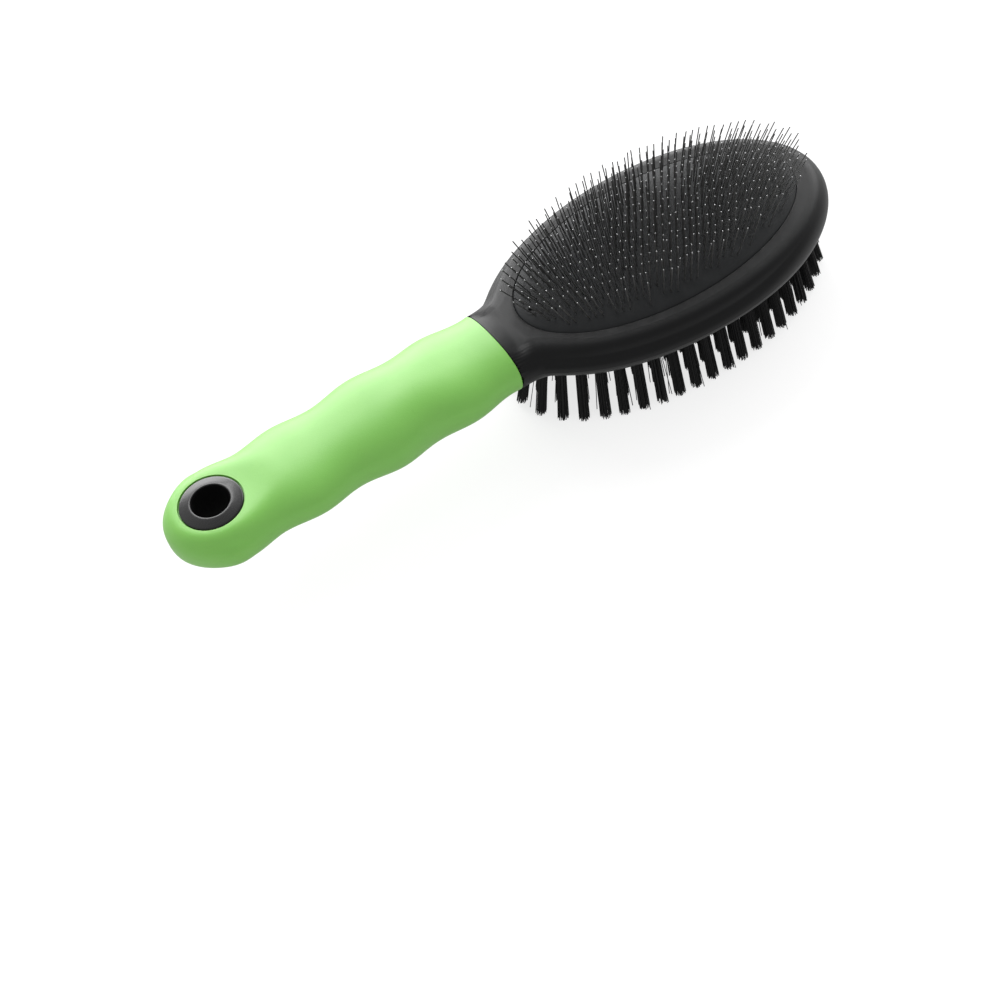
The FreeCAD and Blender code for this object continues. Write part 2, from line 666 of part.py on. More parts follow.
pieces["pin_side_shell"] = pin_side_shell(half, bar, ring_hole)
pieces["bristle_side_shell"] = bristle_side_shell(half, bar, ring_hole, tuft_holes)
pieces["grip_sleeve"] = grip_sleeve()
pieces["hang_ring_pin_side"] = ring
pieces["hang_ring_bristle_side"] = mirrored("HangRingBelow", ring)
under_dome = dome("UnderDome", "Sizes.pad_half_length - Sizes.pad_side_wall",
                  "Sizes.pad_half_width - Sizes.pad_side_wall",
                  "Sizes.dome_rise + Sizes.dome_drop - Sizes.membrane")
pieces["cushion_tray"] = cushion_tray()
pieces["pin_cushion"] = cushion(under_dome)
pieces["cushion_backing"] = cushion_backing(under_dome)
for band, staples in zip(PIN_BANDS, pin_staples()):
    pieces["pin_staples_" + band] = feature("PinStaples" + band.title(), Part.makeCompound(staples))
for number, circle in enumerate(layout, start=1):
    name = "row" if number == len(layout) else "ring_%d" % number
    tufts = [set_in_hole(tuft.Shape, place, outward) for place, outward in circle]
    anchors = [set_in_hole(anchor.Shape, place, outward) for place, outward in circle]
    pieces["tufts_" + name] = feature("Tufts" + name.title().replace("_", ""), Part.makeCompound(tufts))
    pieces["tuft_anchors_" + name] = feature("TuftAnchors" + name.title().replace("_", ""),
                                             Part.makeCompound(anchors))
doc.recompute()

for thing in doc.Objects:
    if "Invalid" in thing.State or "Error" in thing.State:
        raise RuntimeError("%s did not recompute: %s" % (thing.Name, thing.State))
for name, thing in pieces.items():
    thing.Label = name
    if thing.Shape.isNull() or not thing.Shape.isValid():
        raise RuntimeError("%s has no valid shape" % name)

os.makedirs("parts", exist_ok=True)
for name, thing in pieces.items():
    thing.Shape.exportStep("parts/%s.step" % name)
    print("%-26s %4d solids %9.1f mm3" % (name, len(thing.Shape.Solids), thing.Shape.Volume))
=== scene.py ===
"""The finish of a double-sided grooming brush: soft green grip, glossy hanging ring, satin head,
rubber air cushion with wire pins on top, and tufts of nylon filament below.

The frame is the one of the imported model: metres, origin at the centre of the hanging hole, +X to
the head's tip, +Z out of the pin side. Shapes are worked out in millimetres and scaled once.
"""
import math

import bpy
import numpy as np
from mathutils import Matrix, Vector


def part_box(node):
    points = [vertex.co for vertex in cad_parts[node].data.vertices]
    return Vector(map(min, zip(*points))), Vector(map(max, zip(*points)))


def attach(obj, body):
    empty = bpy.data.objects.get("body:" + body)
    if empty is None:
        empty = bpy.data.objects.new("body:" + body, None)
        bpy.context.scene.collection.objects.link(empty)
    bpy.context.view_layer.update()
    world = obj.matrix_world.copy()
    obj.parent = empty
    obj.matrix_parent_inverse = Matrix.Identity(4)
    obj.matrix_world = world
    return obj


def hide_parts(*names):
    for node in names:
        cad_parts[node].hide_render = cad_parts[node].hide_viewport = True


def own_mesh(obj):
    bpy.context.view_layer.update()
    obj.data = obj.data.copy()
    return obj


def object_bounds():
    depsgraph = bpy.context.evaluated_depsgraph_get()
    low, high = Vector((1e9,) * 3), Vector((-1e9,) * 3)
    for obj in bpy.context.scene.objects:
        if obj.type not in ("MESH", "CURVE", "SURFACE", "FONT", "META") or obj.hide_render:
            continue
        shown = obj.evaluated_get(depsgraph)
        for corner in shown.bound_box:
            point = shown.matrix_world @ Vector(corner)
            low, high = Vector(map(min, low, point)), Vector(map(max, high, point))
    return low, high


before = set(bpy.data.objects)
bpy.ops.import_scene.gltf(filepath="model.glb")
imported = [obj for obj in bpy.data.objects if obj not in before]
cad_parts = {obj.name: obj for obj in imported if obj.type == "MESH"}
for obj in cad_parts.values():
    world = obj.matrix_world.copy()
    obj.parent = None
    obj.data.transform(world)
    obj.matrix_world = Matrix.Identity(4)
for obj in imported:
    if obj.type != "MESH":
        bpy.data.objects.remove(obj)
cad_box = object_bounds()

MM = 0.001


def box_mm(node):
    """Lowest and highest corner of a piece of the frame, in millimetres."""
    low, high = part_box(node)
    return np.array(low) / MM, np.array(high) / MM


# ------------------------------ sizes in millimetres, angles in degrees, shares and counts

BRUSH_LOW, BRUSH_HIGH = (np.array(corner) / MM for corner in cad_box)
HEAD_HIGH = box_mm("pin_side_shell")[1]
SLEEVE_LOW, SLEEVE_HIGH = box_mm("grip_sleeve")
PAD_LOW, PAD_HIGH = box_mm("pin_cushion")
RING_HIGH = box_mm("hang_ring_pin_side")[1]

# head
HEAD_CENTRE = 148.0
HEAD_TIP = HEAD_HIGH[0]
HEAD_BACK_REACH = 58.5
HEAD_HALF_WIDTH = HEAD_HIGH[1]
PLATEAU = 6.4
TIP_ROLL = 6.0  # width of the round rim that replaces the edge profile at the tip
TIP_ROLL_RUN = 38.0
TIP_ROLL_SHARE = 0.9
SHOULDER_INSET = 2.15  # the edge's part further in than this is drawn out at the shoulders
SHOULDER_EASE = 0.55

# neck: its bar widens and drops towards the head, and sinks into it past the crease
NECK_PLACE = 89.0
NECK_HALF_WIDTH = 14.5
NECK_HALF_HEIGHT = HEAD_HIGH[2]
NECK_POWER = 6.0  # how tightly the oval runs into the neck
CREASE_PLACE = 96.3
CREASE_RUNOUT = 6.0
SHOULDER_START = CREASE_PLACE - 2.0
SHOULDER_END = 114.0
BAR_RUN = 13.3
BAR_WIDENING = 0.22
BAR_WIDENING_POWER = 1.6
BAR_DROP = 0.2
BAR_DROP_POWER = 0.8
CORNER_FILL = 0.2
CORNER_FILL_RUN = 8.0
NECK_FILL = 1.7
NECK_FILL_RUN = 1.5
SADDLE = 3.2
SADDLE_END = CREASE_PLACE - 1.0
SADDLE_SLOPE = 0.6
SADDLE_BLEND = 0.25

# The head's edge: height as a share of the plateau's, and inset from the widest outline.
EDGE_PROFILE = ((0.0, 0.0), (0.17, 0.2), (0.32, 0.8), (0.42, 1.6), (0.5, 2.15),
                (0.64, 2.5), (0.79, 3.0), (0.9, 3.7), (0.965, 4.6), (1.0, 6.0))

# how finely the head is made
EDGE_ROUNDINGS = 3
EDGE_STEP = 0.16
OUTLINE_POINTS = 900
OUTLINE_STEP = 0.8
NECK_END_POINTS = 37
RAY_POINTS = 120
RAY_CROWDING = 1.5  # how closely a ray's points stand near the outline
PLATEAU_ROWS = 13
BLOCK_ROWS = 14

# pad
FLANGE_WIDTH = 1.4
FLANGE_THICKNESS = 1.2
PAD_GAP = 0.3
PAD_BULGE = 0.22
PLATEAU_WALL = 2.0
OPENING_LIP = 0.18  # radius of the rolled edge round the pad's opening
LIP_ANGLES = (0.0, 30.0, 60.0, 90.0)
PAD_CENTRE = (PAD_LOW[0] + PAD_HIGH[0]) / 2.0
PAD_MIDDLE = np.array([PAD_CENTRE, 0.0])
PAD_HALF_LENGTH = (PAD_HIGH[0] - PAD_LOW[0]) / 2.0 - FLANGE_WIDTH
PAD_HALF_WIDTH = PAD_HIGH[1] - FLANGE_WIDTH
DOME_SPREAD = 1.032  # the dome's ellipsoid against the pad's outline, where they meet
DOME_BASE = 5.6
DOME_RISE = PAD_HIGH[2] - DOME_BASE
MEMBRANE = 1.3
THINNEST_RUBBER = 0.5
PAD_SIDE_WALL = 1.5
PAD_GRID = (261, 137)

# relief of the rubber: its rim turned down, a dimple and a swell round each wire, the vent's lip
RIM_DROP = 0.10
RIM_DROP_AT_NECK = 0.35
RIM_DROP_RUN = 0.30
DIMPLE_DEPTH = 0.16
DIMPLE_SPREAD = 0.33
DIMPLE_REACH = 1.2
SWELL_HEIGHT = 0.03
SWELL_RADIUS = 0.75
SWELL_SPREAD = 0.2
VENT_RADIUS = 0.9
VENT_INSET = 3.2
VENT_PLACE = PAD_CENTRE - PAD_HALF_LENGTH + VENT_INSET
VENT_LIP_HEIGHT = 0.16
VENT_LIP_RADIUS = 1.45 * VENT_RADIUS
VENT_LIP_SPREAD = 0.28
VENT_CUT = (DOME_BASE - 1.0, 12.0)
VENT_SIDES = 40

# wire pins
WIRE_RADIUS = 0.17
WIRE_SIDES = 8
PIN_LENGTH = 11.4
STAPLE_GRIP = 2.1  # how deep a pin's root lies under the rubber's top
PIN_COLUMN_PITCH = 1.75
PIN_ROW_PITCH = 3.1
TWILL = 4  # columns of pins after which their shifted pattern starts again
PIN_FIELD_MARGIN = 2.2
PIN_VENT_CLEAR = 0.9
FAN_SIDE = 10.0
FAN_TIP = 44.0
FAN_NECK = 34.0
FAN_POWER = 1.5  # how late the pins lean over on the way to either end of the pad
PIN_BANDS = ("neck", "heel", "toe", "tip")
PIN_UNEVEN = 0.028
PIN_SHORTFALL = 0.12
PIN_SEED = 11
PIN_END_ANGLES = (0.0, 30.0, 60.0, 82.0)
# length at a wire's end that takes the polished finish with the painted glint
POLISHED_GLINT_RUN = 0.24
POLISHED_GLINT_FACES = len(PIN_END_ANGLES) * WIRE_SIDES + 1

# bristle block and tufts
BLOCK_THICKNESS = 5.2
TUFT_DEPTH = 4.4
TUFT_HOLE_RADIUS = 1.5
TUFT_HOLE_SIDES = 20
DRILL_OVERRUN = 2.0
TUFT_ROWS = ("ring_1", "ring_2", "ring_3", "ring_4", "row")
TUFT_END_BAND = 0.05
TUFT_SPLAY = 0.27
TUFT_SEED = 41
FILAMENT_COUNT = 66
FILAMENT_RADIUS = 0.145
FILAMENT_THINNEST = 0.85
FILAMENT_SIDES = 4
FILAMENT_LEVELS = 4
FILAMENT_FIT = 0.04
GOLDEN_ANGLE = 2.39996
TURN_UNEVEN = 0.10
LEAN_UNEVEN = 0.05
TRIM_UNEVEN = 0.09
BOW_UNEVEN = 0.04
STRAY_SHARE = 0.03
STRAY_SPLAY = 2.0
STRAY_OFFSET = (0.3, 1.2)
STRAY_SHORTFALL = 1.2

# grip
GRIP_POWER = 2.3  # roundness of the grip's section, 2 is an ellipse
GRIP_HALF_WIDTH = 14.95
GRIP_HALF_HEIGHT = 7.6
WAVE_DEPTH = 0.8
WAVE_PITCH = 24.5
BELLY_RISE = 2.2
BELLY_PLACE = 57.0
BELLY_SPREAD = 17.0
NECK_ROLL = 0.4
NECK_ROLL_ANGLES = (0.0, 22.5, 45.0, 67.5, 90.0)
GRIP_SIDES = 144
GRIP_STEP = 0.7
BUTT_SECTIONS = 28

# hanging ring
HOLE_RADIUS = 5.25
BARREL_RADIUS = 7.0
BARREL_OVERCUT = 0.5
BEZEL_RADIUS = RING_HIGH[0]
BEZEL_SEAT = 6.2
BEZEL_EDGE = 6.9
BEZEL_TOP = RING_HIGH[2]
BEZEL_GROOVE = 0.35
LAND_RUN = 4.6  # over which the grip is led level with the bezel's edge
LAND_STRETCH = 1.4
RING_SPLIT = 0.02  # from the middle to the face of either half
BORE_BAND = 0.02  # how far past the hole's radius a face still counts as the bore
RING_SIDES = 128
CROWN_ROUNDINGS = 2

# The bezel from its outer edge over the crown to the hole: radius, and height from the middle.
BEZEL_CROWN = ((8.70, 6.45), (8.66, 6.72), (8.42, 6.92), (7.80, 7.10), (7.00, 7.32), (6.20, 7.52),
               (5.80, BEZEL_TOP), (5.52, 7.60), (5.33, 7.46), (HOLE_RADIUS, 7.10))


# ------------------------------ materials

class Tone:
    """A shader socket that takes part in Python sums, so that a mix of masks reads as one line."""

    def __init__(self, graph, socket):
        self.graph = graph
        self.socket = socket

    def _sum(self, operation, first, second):
        return self.graph.node("ShaderNodeMath", {"operation": operation}, {0: first, 1: second})

    def __add__(self, other):
        return self._sum("ADD", self, other)

    def __sub__(self, other):
        return self._sum("SUBTRACT", self, other)

    def __rsub__(self, other):
        return self._sum("SUBTRACT", other, self)

    def __mul__(self, other):
        return self._sum("MULTIPLY", self, other)

    __radd__ = __add__
    __rmul__ = __mul__

    def wave(self):
        """The sine of this value."""
        return self.graph.node("ShaderNodeMath", {"operation": "SINE"}, {0: self})

    def step(self, low, high):
        """0 below low and 1 above high, with a smooth run between."""
        return self.graph.node("ShaderNodeMapRange", {"interpolation_type": "SMOOTHSTEP"},
                               {"Value": self, "From Min": low, "From Max": high})


class Graph:
    """A tree of shader nodes."""

    def __init__(self, tree):
        self.tree = tree

    def node(self, kind, settings=None, sockets=None, output=0):
        """Any node: its settings first, then the values or links of its sockets."""
        made = self.tree.nodes.new(kind)
        for name, value in (settings or {}).items():
            setattr(made, name, value)
        for name, value in (sockets or {}).items():
            if isinstance(value, Tone):
                self.tree.links.new(value.socket, made.inputs[name])
            else:
                made.inputs[name].default_value = value
        return Tone(self, made.outputs[output])

    def ray(self, kind):
        """1 for a ray of this kind, and else 0."""
        return self.node("ShaderNodeLightPath", output=f"Is {kind} Ray")

    def seen(self):
        """1 where the eye sees a surface, straight or in a mirror or through glass, and else 0."""
        return self.ray("Camera") + self.ray("Glossy") + self.ray("Transmission")


class Finish(Graph):
    """One material: a Principled shader, and the nodes that feed it."""

    def __init__(self, name, **constants):
        self.material = bpy.data.materials.new(name)
        self.material.use_nodes = True
        super().__init__(self.material.node_tree)
        self.shader = self.tree.nodes["Principled BSDF"]
        self.place = self.node("ShaderNodeTexCoord", output="Object")
        self.place = self.node("ShaderNodeVectorMath", {"operation": "SCALE"},
                               {0: self.place, "Scale": 1.0 / MM})
        for socket, value in constants.items():
            self.shader.inputs[socket.replace("_", " ")].default_value = value

    def noise(self, size, detail=3.0, rough=0.5, stretch=(1.0, 1.0, 1.0)):
        """Noise from 0 to 1 whose grains are about size millimetres."""
        place = self.node("ShaderNodeVectorMath", {"operation": "MULTIPLY"},
                          {0: self.place, 1: stretch})
        return self.node("ShaderNodeTexNoise", {}, {"Vector": place, "Scale": 1.0 / size,
                                                    "Detail": detail, "Roughness": rough})

    def axis(self, letter):
        """One coordinate of the surface, in millimetres."""
        return self.node("ShaderNodeSeparateXYZ", {}, {0: self.place}, output=letter)

    def tint(self, mask, first, second):
        """A colour that runs from first to second with the mask."""
        return self.node("ShaderNodeMix", {"data_type": "RGBA"},
                         {0: mask, 6: self._colour(first), 7: self._colour(second)}, output=2)

    def _colour(self, value):
        return value if isinstance(value, Tone) else tuple(value) + (1.0,)

    def feed(self, socket, tone):
        """Links a varying value to a socket of the shader."""
        self.tree.links.new(tone.socket, self.shader.inputs[socket])

    def made(self, colour, rough, metal=None, relief=None, depth=0.0):
        """The material with its shader fed. A relief of 0 to 1 stands for depth millimetres."""
        self.feed("Base Color", colour)
        self.feed("Roughness", rough)
        if metal is not None:
            self.feed("Metallic", metal)
        if relief is not None:
            self.feed("Normal", self.node("ShaderNodeBump", {}, {
                "Height": relief, "Distance": depth * MM, "Strength": 1.0}))
        return self.material


def soft_grip():
    """Soft-touch rubber: pale green, a fine spark-eroded grain and slightly polished high spots."""
    finish = Finish("soft_grip_green", Subsurface_Weight=0.12, Subsurface_Scale=0.003,
                    Subsurface_Radius=(0.5, 1.0, 0.2), Sheen_Weight=0.06, Sheen_Roughness=0.45,
                    Specular_IOR_Level=1.0)
    cloud = finish.noise(9.0, detail=2.0)
    grain = finish.noise(0.32, detail=2.0, rough=0.6)
    speck = finish.noise(1.7, detail=4.0).step(0.56, 0.74)
    colour = finish.tint(cloud, (0.158, 0.468, 0.048), (0.182, 0.502, 0.060))
    colour = finish.tint(speck * 0.10, colour, (0.120, 0.385, 0.030))
    return finish.made(colour, 0.45 + 0.10 * grain - 0.05 * cloud,
                       relief=grain + 0.4 * finish.noise(2.6), depth=0.030)


def ring_gloss():
    """Polished black plastic with faint hairline scratches."""
    finish = Finish("ring_gloss_black", Coat_Roughness=0.12, Specular_IOR_Level=0.42)
    scratch = finish.noise(0.5, detail=5.0, stretch=(1.0, 9.0, 1.0)).step(0.58, 0.70)
    cloud = finish.noise(3.0)
    colour = finish.tint(cloud, (0.0025, 0.0025, 0.0028), (0.0050, 0.0050, 0.0055))
    finish.feed("Coat Weight", 0.20 - 0.10 * scratch)
    return finish.made(colour, 0.24 + 0.10 * scratch + 0.05 * cloud,
                       relief=finish.noise(0.9, detail=2.0), depth=0.010)


def bore_painted_shade():
    """Painted shade for the ring's bore: its black made darker, duller and a little chalky."""
    finish = Finish("ring_bore_painted_shade", Specular_IOR_Level=0.08)
    chalk = finish.noise(0.8, detail=4.0)
    colour = finish.tint(chalk, (0.0015, 0.0015, 0.0016), (0.004, 0.004, 0.0042))
    return finish.made(colour, 0.80 + 0.15 * chalk, relief=chalk, depth=0.02)


def head_satin():
    """Satin moulded plastic: near black, with the even grain of an etched mould."""
    finish = Finish("head_satin_black", Specular_IOR_Level=0.26)
    grain = finish.noise(0.22, detail=2.0, rough=0.6)
    cloud = finish.noise(14.0, detail=3.0)
    rub = finish.noise(0.7, detail=5.0, stretch=(0.25, 1.0, 1.0)).step(0.60, 0.78)
    colour = finish.tint(cloud, (0.0032, 0.0034, 0.0037), (0.0052, 0.0055, 0.0060))
    colour = finish.tint(rub * 0.20, colour, (0.015, 0.015, 0.016))
    return finish.made(colour, 0.36 + 0.10 * grain + 0.05 * cloud - 0.05 * rub, relief=grain,
                       depth=0.016)


def pad_rubber():
    """Matte black rubber with a dusty bloom."""
    finish = Finish("pad_rubber_black", Specular_IOR_Level=0.27)
    grain = finish.noise(0.28, detail=3.0, rough=0.65)
    bloom = finish.noise(6.0, detail=4.0).step(0.45, 0.75)
    colour = finish.tint(grain, (0.008, 0.009, 0.010), (0.014, 0.015, 0.016))
    colour = finish.tint(bloom * 0.3, colour, (0.026, 0.027, 0.028))
    return finish.made(colour, 0.56 + 0.14 * grain + 0.05 * bloom, relief=grain, depth=0.030)


def tray_plastic():
    """Plain dark moulded plastic of the hidden tray."""
    finish = Finish("tray_plastic_grey")
    grain = finish.noise(0.5)
    colour = finish.tint(grain, (0.045, 0.046, 0.048), (0.060, 0.061, 0.063))
    return finish.made(colour, 0.45 + 0.15 * grain, relief=grain, depth=0.02)


def backing_weave():
    """The woven cloth bonded under the rubber."""
    finish = Finish("backing_weave_grey")
    along = (finish.axis("X") * 6.0).wave()
    across = (finish.axis("Y") * 6.0).wave()
    weave = 0.5 + 0.5 * along * across
    colour = finish.tint(weave, (0.05, 0.05, 0.052), (0.16, 0.16, 0.165))
    return finish.made(colour, 0.75 + 0.15 * weave, relief=weave, depth=0.12)


def pin_steel():
    """Drawn steel wire: dull along its length, with the fine lines of the die."""
    finish = Finish("pin_steel_wire")
    line = finish.noise(0.10, detail=3.0, stretch=(1.0, 1.0, 0.12))
    dull = finish.noise(1.6, detail=3.0).step(0.40, 0.70)
    colour = finish.tint(dull, (0.150, 0.149, 0.147), (0.080, 0.080, 0.080))
    return finish.made(colour, 0.46 + 0.12 * line + 0.12 * dull, metal=0.85 - 0.20 * dull)


def pin_end_polish_and_glint():
    """The ground and polished end of a wire, far paler than its length: a painted glint."""
    finish = Finish("pin_end_polished_glint")
    cloud = finish.noise(0.4, detail=2.0)
    colour = finish.tint(cloud, (0.66, 0.66, 0.67), (0.44, 0.44, 0.45))
    return finish.made(colour, 0.16 + 0.10 * cloud, metal=1.0 - 0.05 * cloud)


def anchor_brass():
    """Flat brass wire that holds a tuft down in its hole."""
    finish = Finish("anchor_brass_wire")
    dull = finish.noise(0.6)
    colour = finish.tint(dull, (0.60, 0.42, 0.16), (0.36, 0.24, 0.10))
    return finish.made(colour, 0.28 + 0.25 * dull, metal=1.0 - 0.10 * dull)


def filament_nylon():
    """Black nylon bristle, dull from the crimping, a little paler here and there along a hair."""
    finish = Finish("filament_nylon_black", Specular_IOR_Level=0.22)
    streak = finish.noise(0.35, detail=2.0, stretch=(1.0, 1.0, 0.15))
    pale = finish.noise(0.9, detail=2.0, stretch=(1.0, 1.0, 0.3)).step(0.62, 0.80)
    colour = finish.tint(streak, (0.0035, 0.0035, 0.0040), (0.0090, 0.0090, 0.0095))
    colour = finish.tint(pale * 0.4, colour, (0.035, 0.035, 0.037))
    return finish.made(colour, 0.42 + 0.18 * streak)


# ------------------------------ mesh helpers

def add_object(name, data):
    made = bpy.data.objects.new(name, data)
    bpy.context.collection.objects.link(made)
    return made


def add_mesh(name, points, faces):
    """A mesh from points in millimetres."""
    mesh = bpy.data.meshes.new(name)
    mesh.from_pydata((np.asarray(points, float) * MM).tolist(), [], faces)
    mesh.update()
    return add_object(name, mesh)


def new_piece(name, points, faces, slot, body="brush_body"):
    """A piece of the brush: its mesh, its slot, and the body that it rides on."""
    piece = add_mesh(name, points, faces)
    dress(piece, slot)
    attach(piece, body)
    return piece


def dress(piece, slot):
    """Gives a piece its slot, and the finish and the smooth shading that go with it."""
    finish, sharp = SLOTS[slot]
    piece.data.materials.clear()
    piece.data.materials.append(finish)
    piece.data.shade_smooth()
    piece.data.set_sharp_from_angle(angle=math.radians(sharp))


def strips(rows, columns, first=0, ring=True, closed=False, flip=False):
    """Quads between rows of equal length, stored one after another from a first index."""
    faces = []
    for row in range(rows if closed else rows - 1):
        below, above = first + row * columns, first + ((row + 1) % rows) * columns
        for column in range(columns if ring else columns - 1):
            after = (column + 1) % columns
            face = (below + column, below + after, above + after, above + column)
            faces.append(face[::-1] if flip else face)
    return faces


def fan(middle, first, count, flip=False):
    """Triangles from a middle point to each side of a closed row that starts at a first index."""
    faces = []
    for column in range(count):
        face = (middle, first + column, first + (column + 1) % count)
        faces.append(face[::-1] if flip else face)
    return faces


def apply_modifiers(piece):
    """The piece's mesh as its modifiers leave it, with none left on the piece."""
    graph = bpy.context.evaluated_depsgraph_get()
    mesh = bpy.data.meshes.new_from_object(piece.evaluated_get(graph))
    piece.modifiers.clear()
    piece.data = mesh


def carve(piece, points, faces):
    """Cuts a closed tool, given in millimetres, out of a piece."""
    tool = add_mesh("tool", points, faces)
    cut = piece.modifiers.new("cut", "BOOLEAN")
    cut.operation = "DIFFERENCE"
    cut.solver = "EXACT"
    cut.object = tool
    apply_modifiers(piece)
    bpy.data.objects.remove(tool)


def square_to(along):
    """Two directions square to a direction and to each other."""
    nearly_y = abs(along[1]) > 0.8
    side = np.cross(along, (1.0, 0.0, 0.0) if nearly_y else (0.0, 1.0, 0.0))
    side /= np.linalg.norm(side)
    return side, np.cross(along, side)


def circle_round(along, sides):
    """Points of a unit circle square to a direction."""
    side, other = square_to(along)
    turn = np.linspace(0.0, 2.0 * np.pi, sides, endpoint=False)
    return np.outer(np.cos(turn), side) + np.outer(np.sin(turn), other)


def rod(rings):
    """Points and faces of a closed bar through rings of points, with its far end's cap last."""
    sides = len(rings[0])
    top = (len(rings) - 1) * sides
    faces = [tuple(range(sides))[::-1]] + strips(len(rings), sides)
    faces.append(tuple(range(top, top + sides)))
    return np.concatenate(rings), faces


def tube_between(start, end, radius, sides):
    """Points and faces of a closed round bar."""
    start, end = np.asarray(start, float), np.asarray(end, float)
    along = (end - start) / np.linalg.norm(end - start)
    circle = radius * circle_round(along, sides)
    return rod([start + circle, end + circle])


def gather(solids):
    """Points and faces of many solids as one list."""
    points, faces, first = [], [], 0
    for solid_points, solid_faces in solids:
        points.append(solid_points)
        faces += [tuple(first + index for index in face) for face in solid_faces]
        first += len(solid_points)
    return np.concatenate(points), faces


def soft_max(first, second, blend):
    """The larger of two values, filled in where they are within blend of each other."""
    near = np.clip(1.0 - np.abs(first - second) / np.maximum(blend, 1e-6), 0.0, 1.0)
    return np.maximum(first, second) + near ** 2 * blend / 4.0


def soft_min(first, second, blend):
    """The smaller of two values, filled in as in soft_max."""
    return -soft_max(-first, -second, blend)


def smooth(share):
    """A share of the way from 0 to 1, made to set off and arrive gently."""
    return share ** 2 * (3.0 - 2.0 * share)


def bell(distance, middle, spread):
    """1 at the middle distance, and next to nothing two spreads away from it."""
    return np.exp(-((distance - middle) / spread) ** 2)


def round_off(points, times):
    """Cuts the corners of an open line of points again and again."""
    for _ in range(times):
        near = 0.75 * points[:-1] + 0.25 * points[1:]
        far = 0.25 * points[:-1] + 0.75 * points[1:]
        inner = np.stack([near, far], axis=1).reshape(-1, points.shape[1])
        points = np.concatenate([points[:1], inner, points[-1:]])
    return points


def even_steps(points, step):
    """Points about step apart along an open line."""
    run = np.concatenate([[0.0], np.cumsum(np.linalg.norm(np.diff(points, axis=0), axis=1))])
    marks = np.linspace(0.0, run[-1], max(2, int(round(run[-1] / step)) + 1))
    return np.stack([np.interp(marks, run, points[:, axis]) for axis in range(points.shape[1])], 1)


# ------------------------------ head shells

def edge_line():
    """Inset and height along the head's edge, rounded off and in even steps."""
    corners = np.array([(inset, share * PLATEAU) for share, inset in EDGE_PROFILE])
    return even_steps(round_off(corners, EDGE_ROUNDINGS), EDGE_STEP)


EDGE_LINE = edge_line()


def bar_half_width(x):
    """Half-width of the neck's bar, which widens from the handle into the head."""
    share = np.clip((x - NECK_PLACE) / BAR_RUN, 0.0, 1.0)
    return NECK_HALF_WIDTH * (1.0 + BAR_WIDENING * share ** BAR_WIDENING_POWER)


def bar_half_height(x):
    """Half-height of the neck's bar, which drops from the handle to the crease and on."""
    share = np.clip((x - NECK_PLACE) / (CREASE_PLACE - NECK_PLACE), 0.0, None)
    return NECK_HALF_HEIGHT * np.clip(1.0 - BAR_DROP * share ** BAR_DROP_POWER, 0.0, 1.0)


def head_half_width(x):
    """Half-width of the head and neck: an oval that runs smoothly into the neck's bar."""
    reach = np.where(x > HEAD_CENTRE, HEAD_TIP - HEAD_CENTRE, HEAD_BACK_REACH)
    along = np.clip(np.abs(x - HEAD_CENTRE) / reach, 0.0, 1.0)
    oval_width = HEAD_HALF_WIDTH * np.sqrt(1.0 - along ** 2)
    fade = np.clip((HEAD_CENTRE - x) / (HEAD_CENTRE - NECK_PLACE), 0.0, 1.0)
    width = (oval_width ** NECK_POWER + (NECK_HALF_WIDTH * fade) ** NECK_POWER) ** (1.0 / NECK_POWER)
    bar = np.where(x < CREASE_PLACE + CREASE_RUNOUT, bar_half_width(x), 0.0)
    return soft_max(width, bar, CORNER_FILL * np.clip(x - NECK_PLACE, 0.0, CORNER_FILL_RUN))


def head_side_line():
    """The upper half of the head's outline, from the neck's corner to the tip."""
    turn = np.linspace(np.pi, 0.0, OUTLINE_POINTS)
    middle = (NECK_PLACE + HEAD_TIP) / 2.0
    x = middle + (HEAD_TIP - NECK_PLACE) / 2.0 * np.cos(turn)
    line = np.stack([x, head_half_width(x)], axis=1)
    line[-1, 1] = 0.0
    return line


SIDE_LINE = head_side_line()


def edge_distance(points):
    """Distance of plan points from the head's side, for either half of the head."""
    points = np.stack([points[:, 0], np.abs(points[:, 1])], axis=1)
    start, run = SIDE_LINE[:-1], np.diff(SIDE_LINE, axis=0)
    nearest = np.full(len(points), np.inf)
    at_once = 4000
    for first in range(0, len(points), at_once):
        chunk = points[first:first + at_once, None, :]
        share = np.clip(((chunk - start) * run).sum(2) / (run ** 2).sum(1), 0.0, 1.0)
        gap = np.linalg.norm(chunk - (start + share[..., None] * run), axis=2)
        nearest[first:first + at_once] = gap.min(1)
    return nearest


def head_height(points, distance):
    """Height of the head's outside over plan points.

    The edge profile runs up to the plateau: drawn out at the shoulders, rolled over at the tip and
    cut down by the saddle at the neck, where the neck's bar stands out of it.
    """
    x, y = points[:, 0], np.abs(points[:, 1])
    shoulder = smooth(np.clip((SHOULDER_END - x) / (SHOULDER_END - SHOULDER_START), 0.0, 1.0))
    stretch = 1.0 + SHOULDER_EASE * shoulder
    inset = np.minimum(distance, SHOULDER_INSET + (distance - SHOULDER_INSET) / stretch)
    edge = np.interp(inset, EDGE_LINE[:, 0], EDGE_LINE[:, 1])
    roll = PLATEAU * np.sqrt(1.0 - (1.0 - np.clip(distance / TIP_ROLL, 0.0, 1.0)) ** 2)
    tip = smooth(np.clip((x - HEAD_CENTRE) / TIP_ROLL_RUN, 0.0, 1.0))
    edge += TIP_ROLL_SHARE * tip * (roll - edge)
    saddle = np.maximum(SADDLE, PLATEAU - SADDLE_SLOPE * (SADDLE_END - x))
    edge = soft_min(edge, saddle, SADDLE_BLEND)
    share = np.clip(1.0 - (y / bar_half_width(x)) ** GRIP_POWER, 0.0, 1.0)
    bar = bar_half_height(x) * share ** (1.0 / GRIP_POWER)
    return soft_max(edge, bar, NECK_FILL * np.clip(distance / NECK_FILL_RUN, 0.0, 1.0))


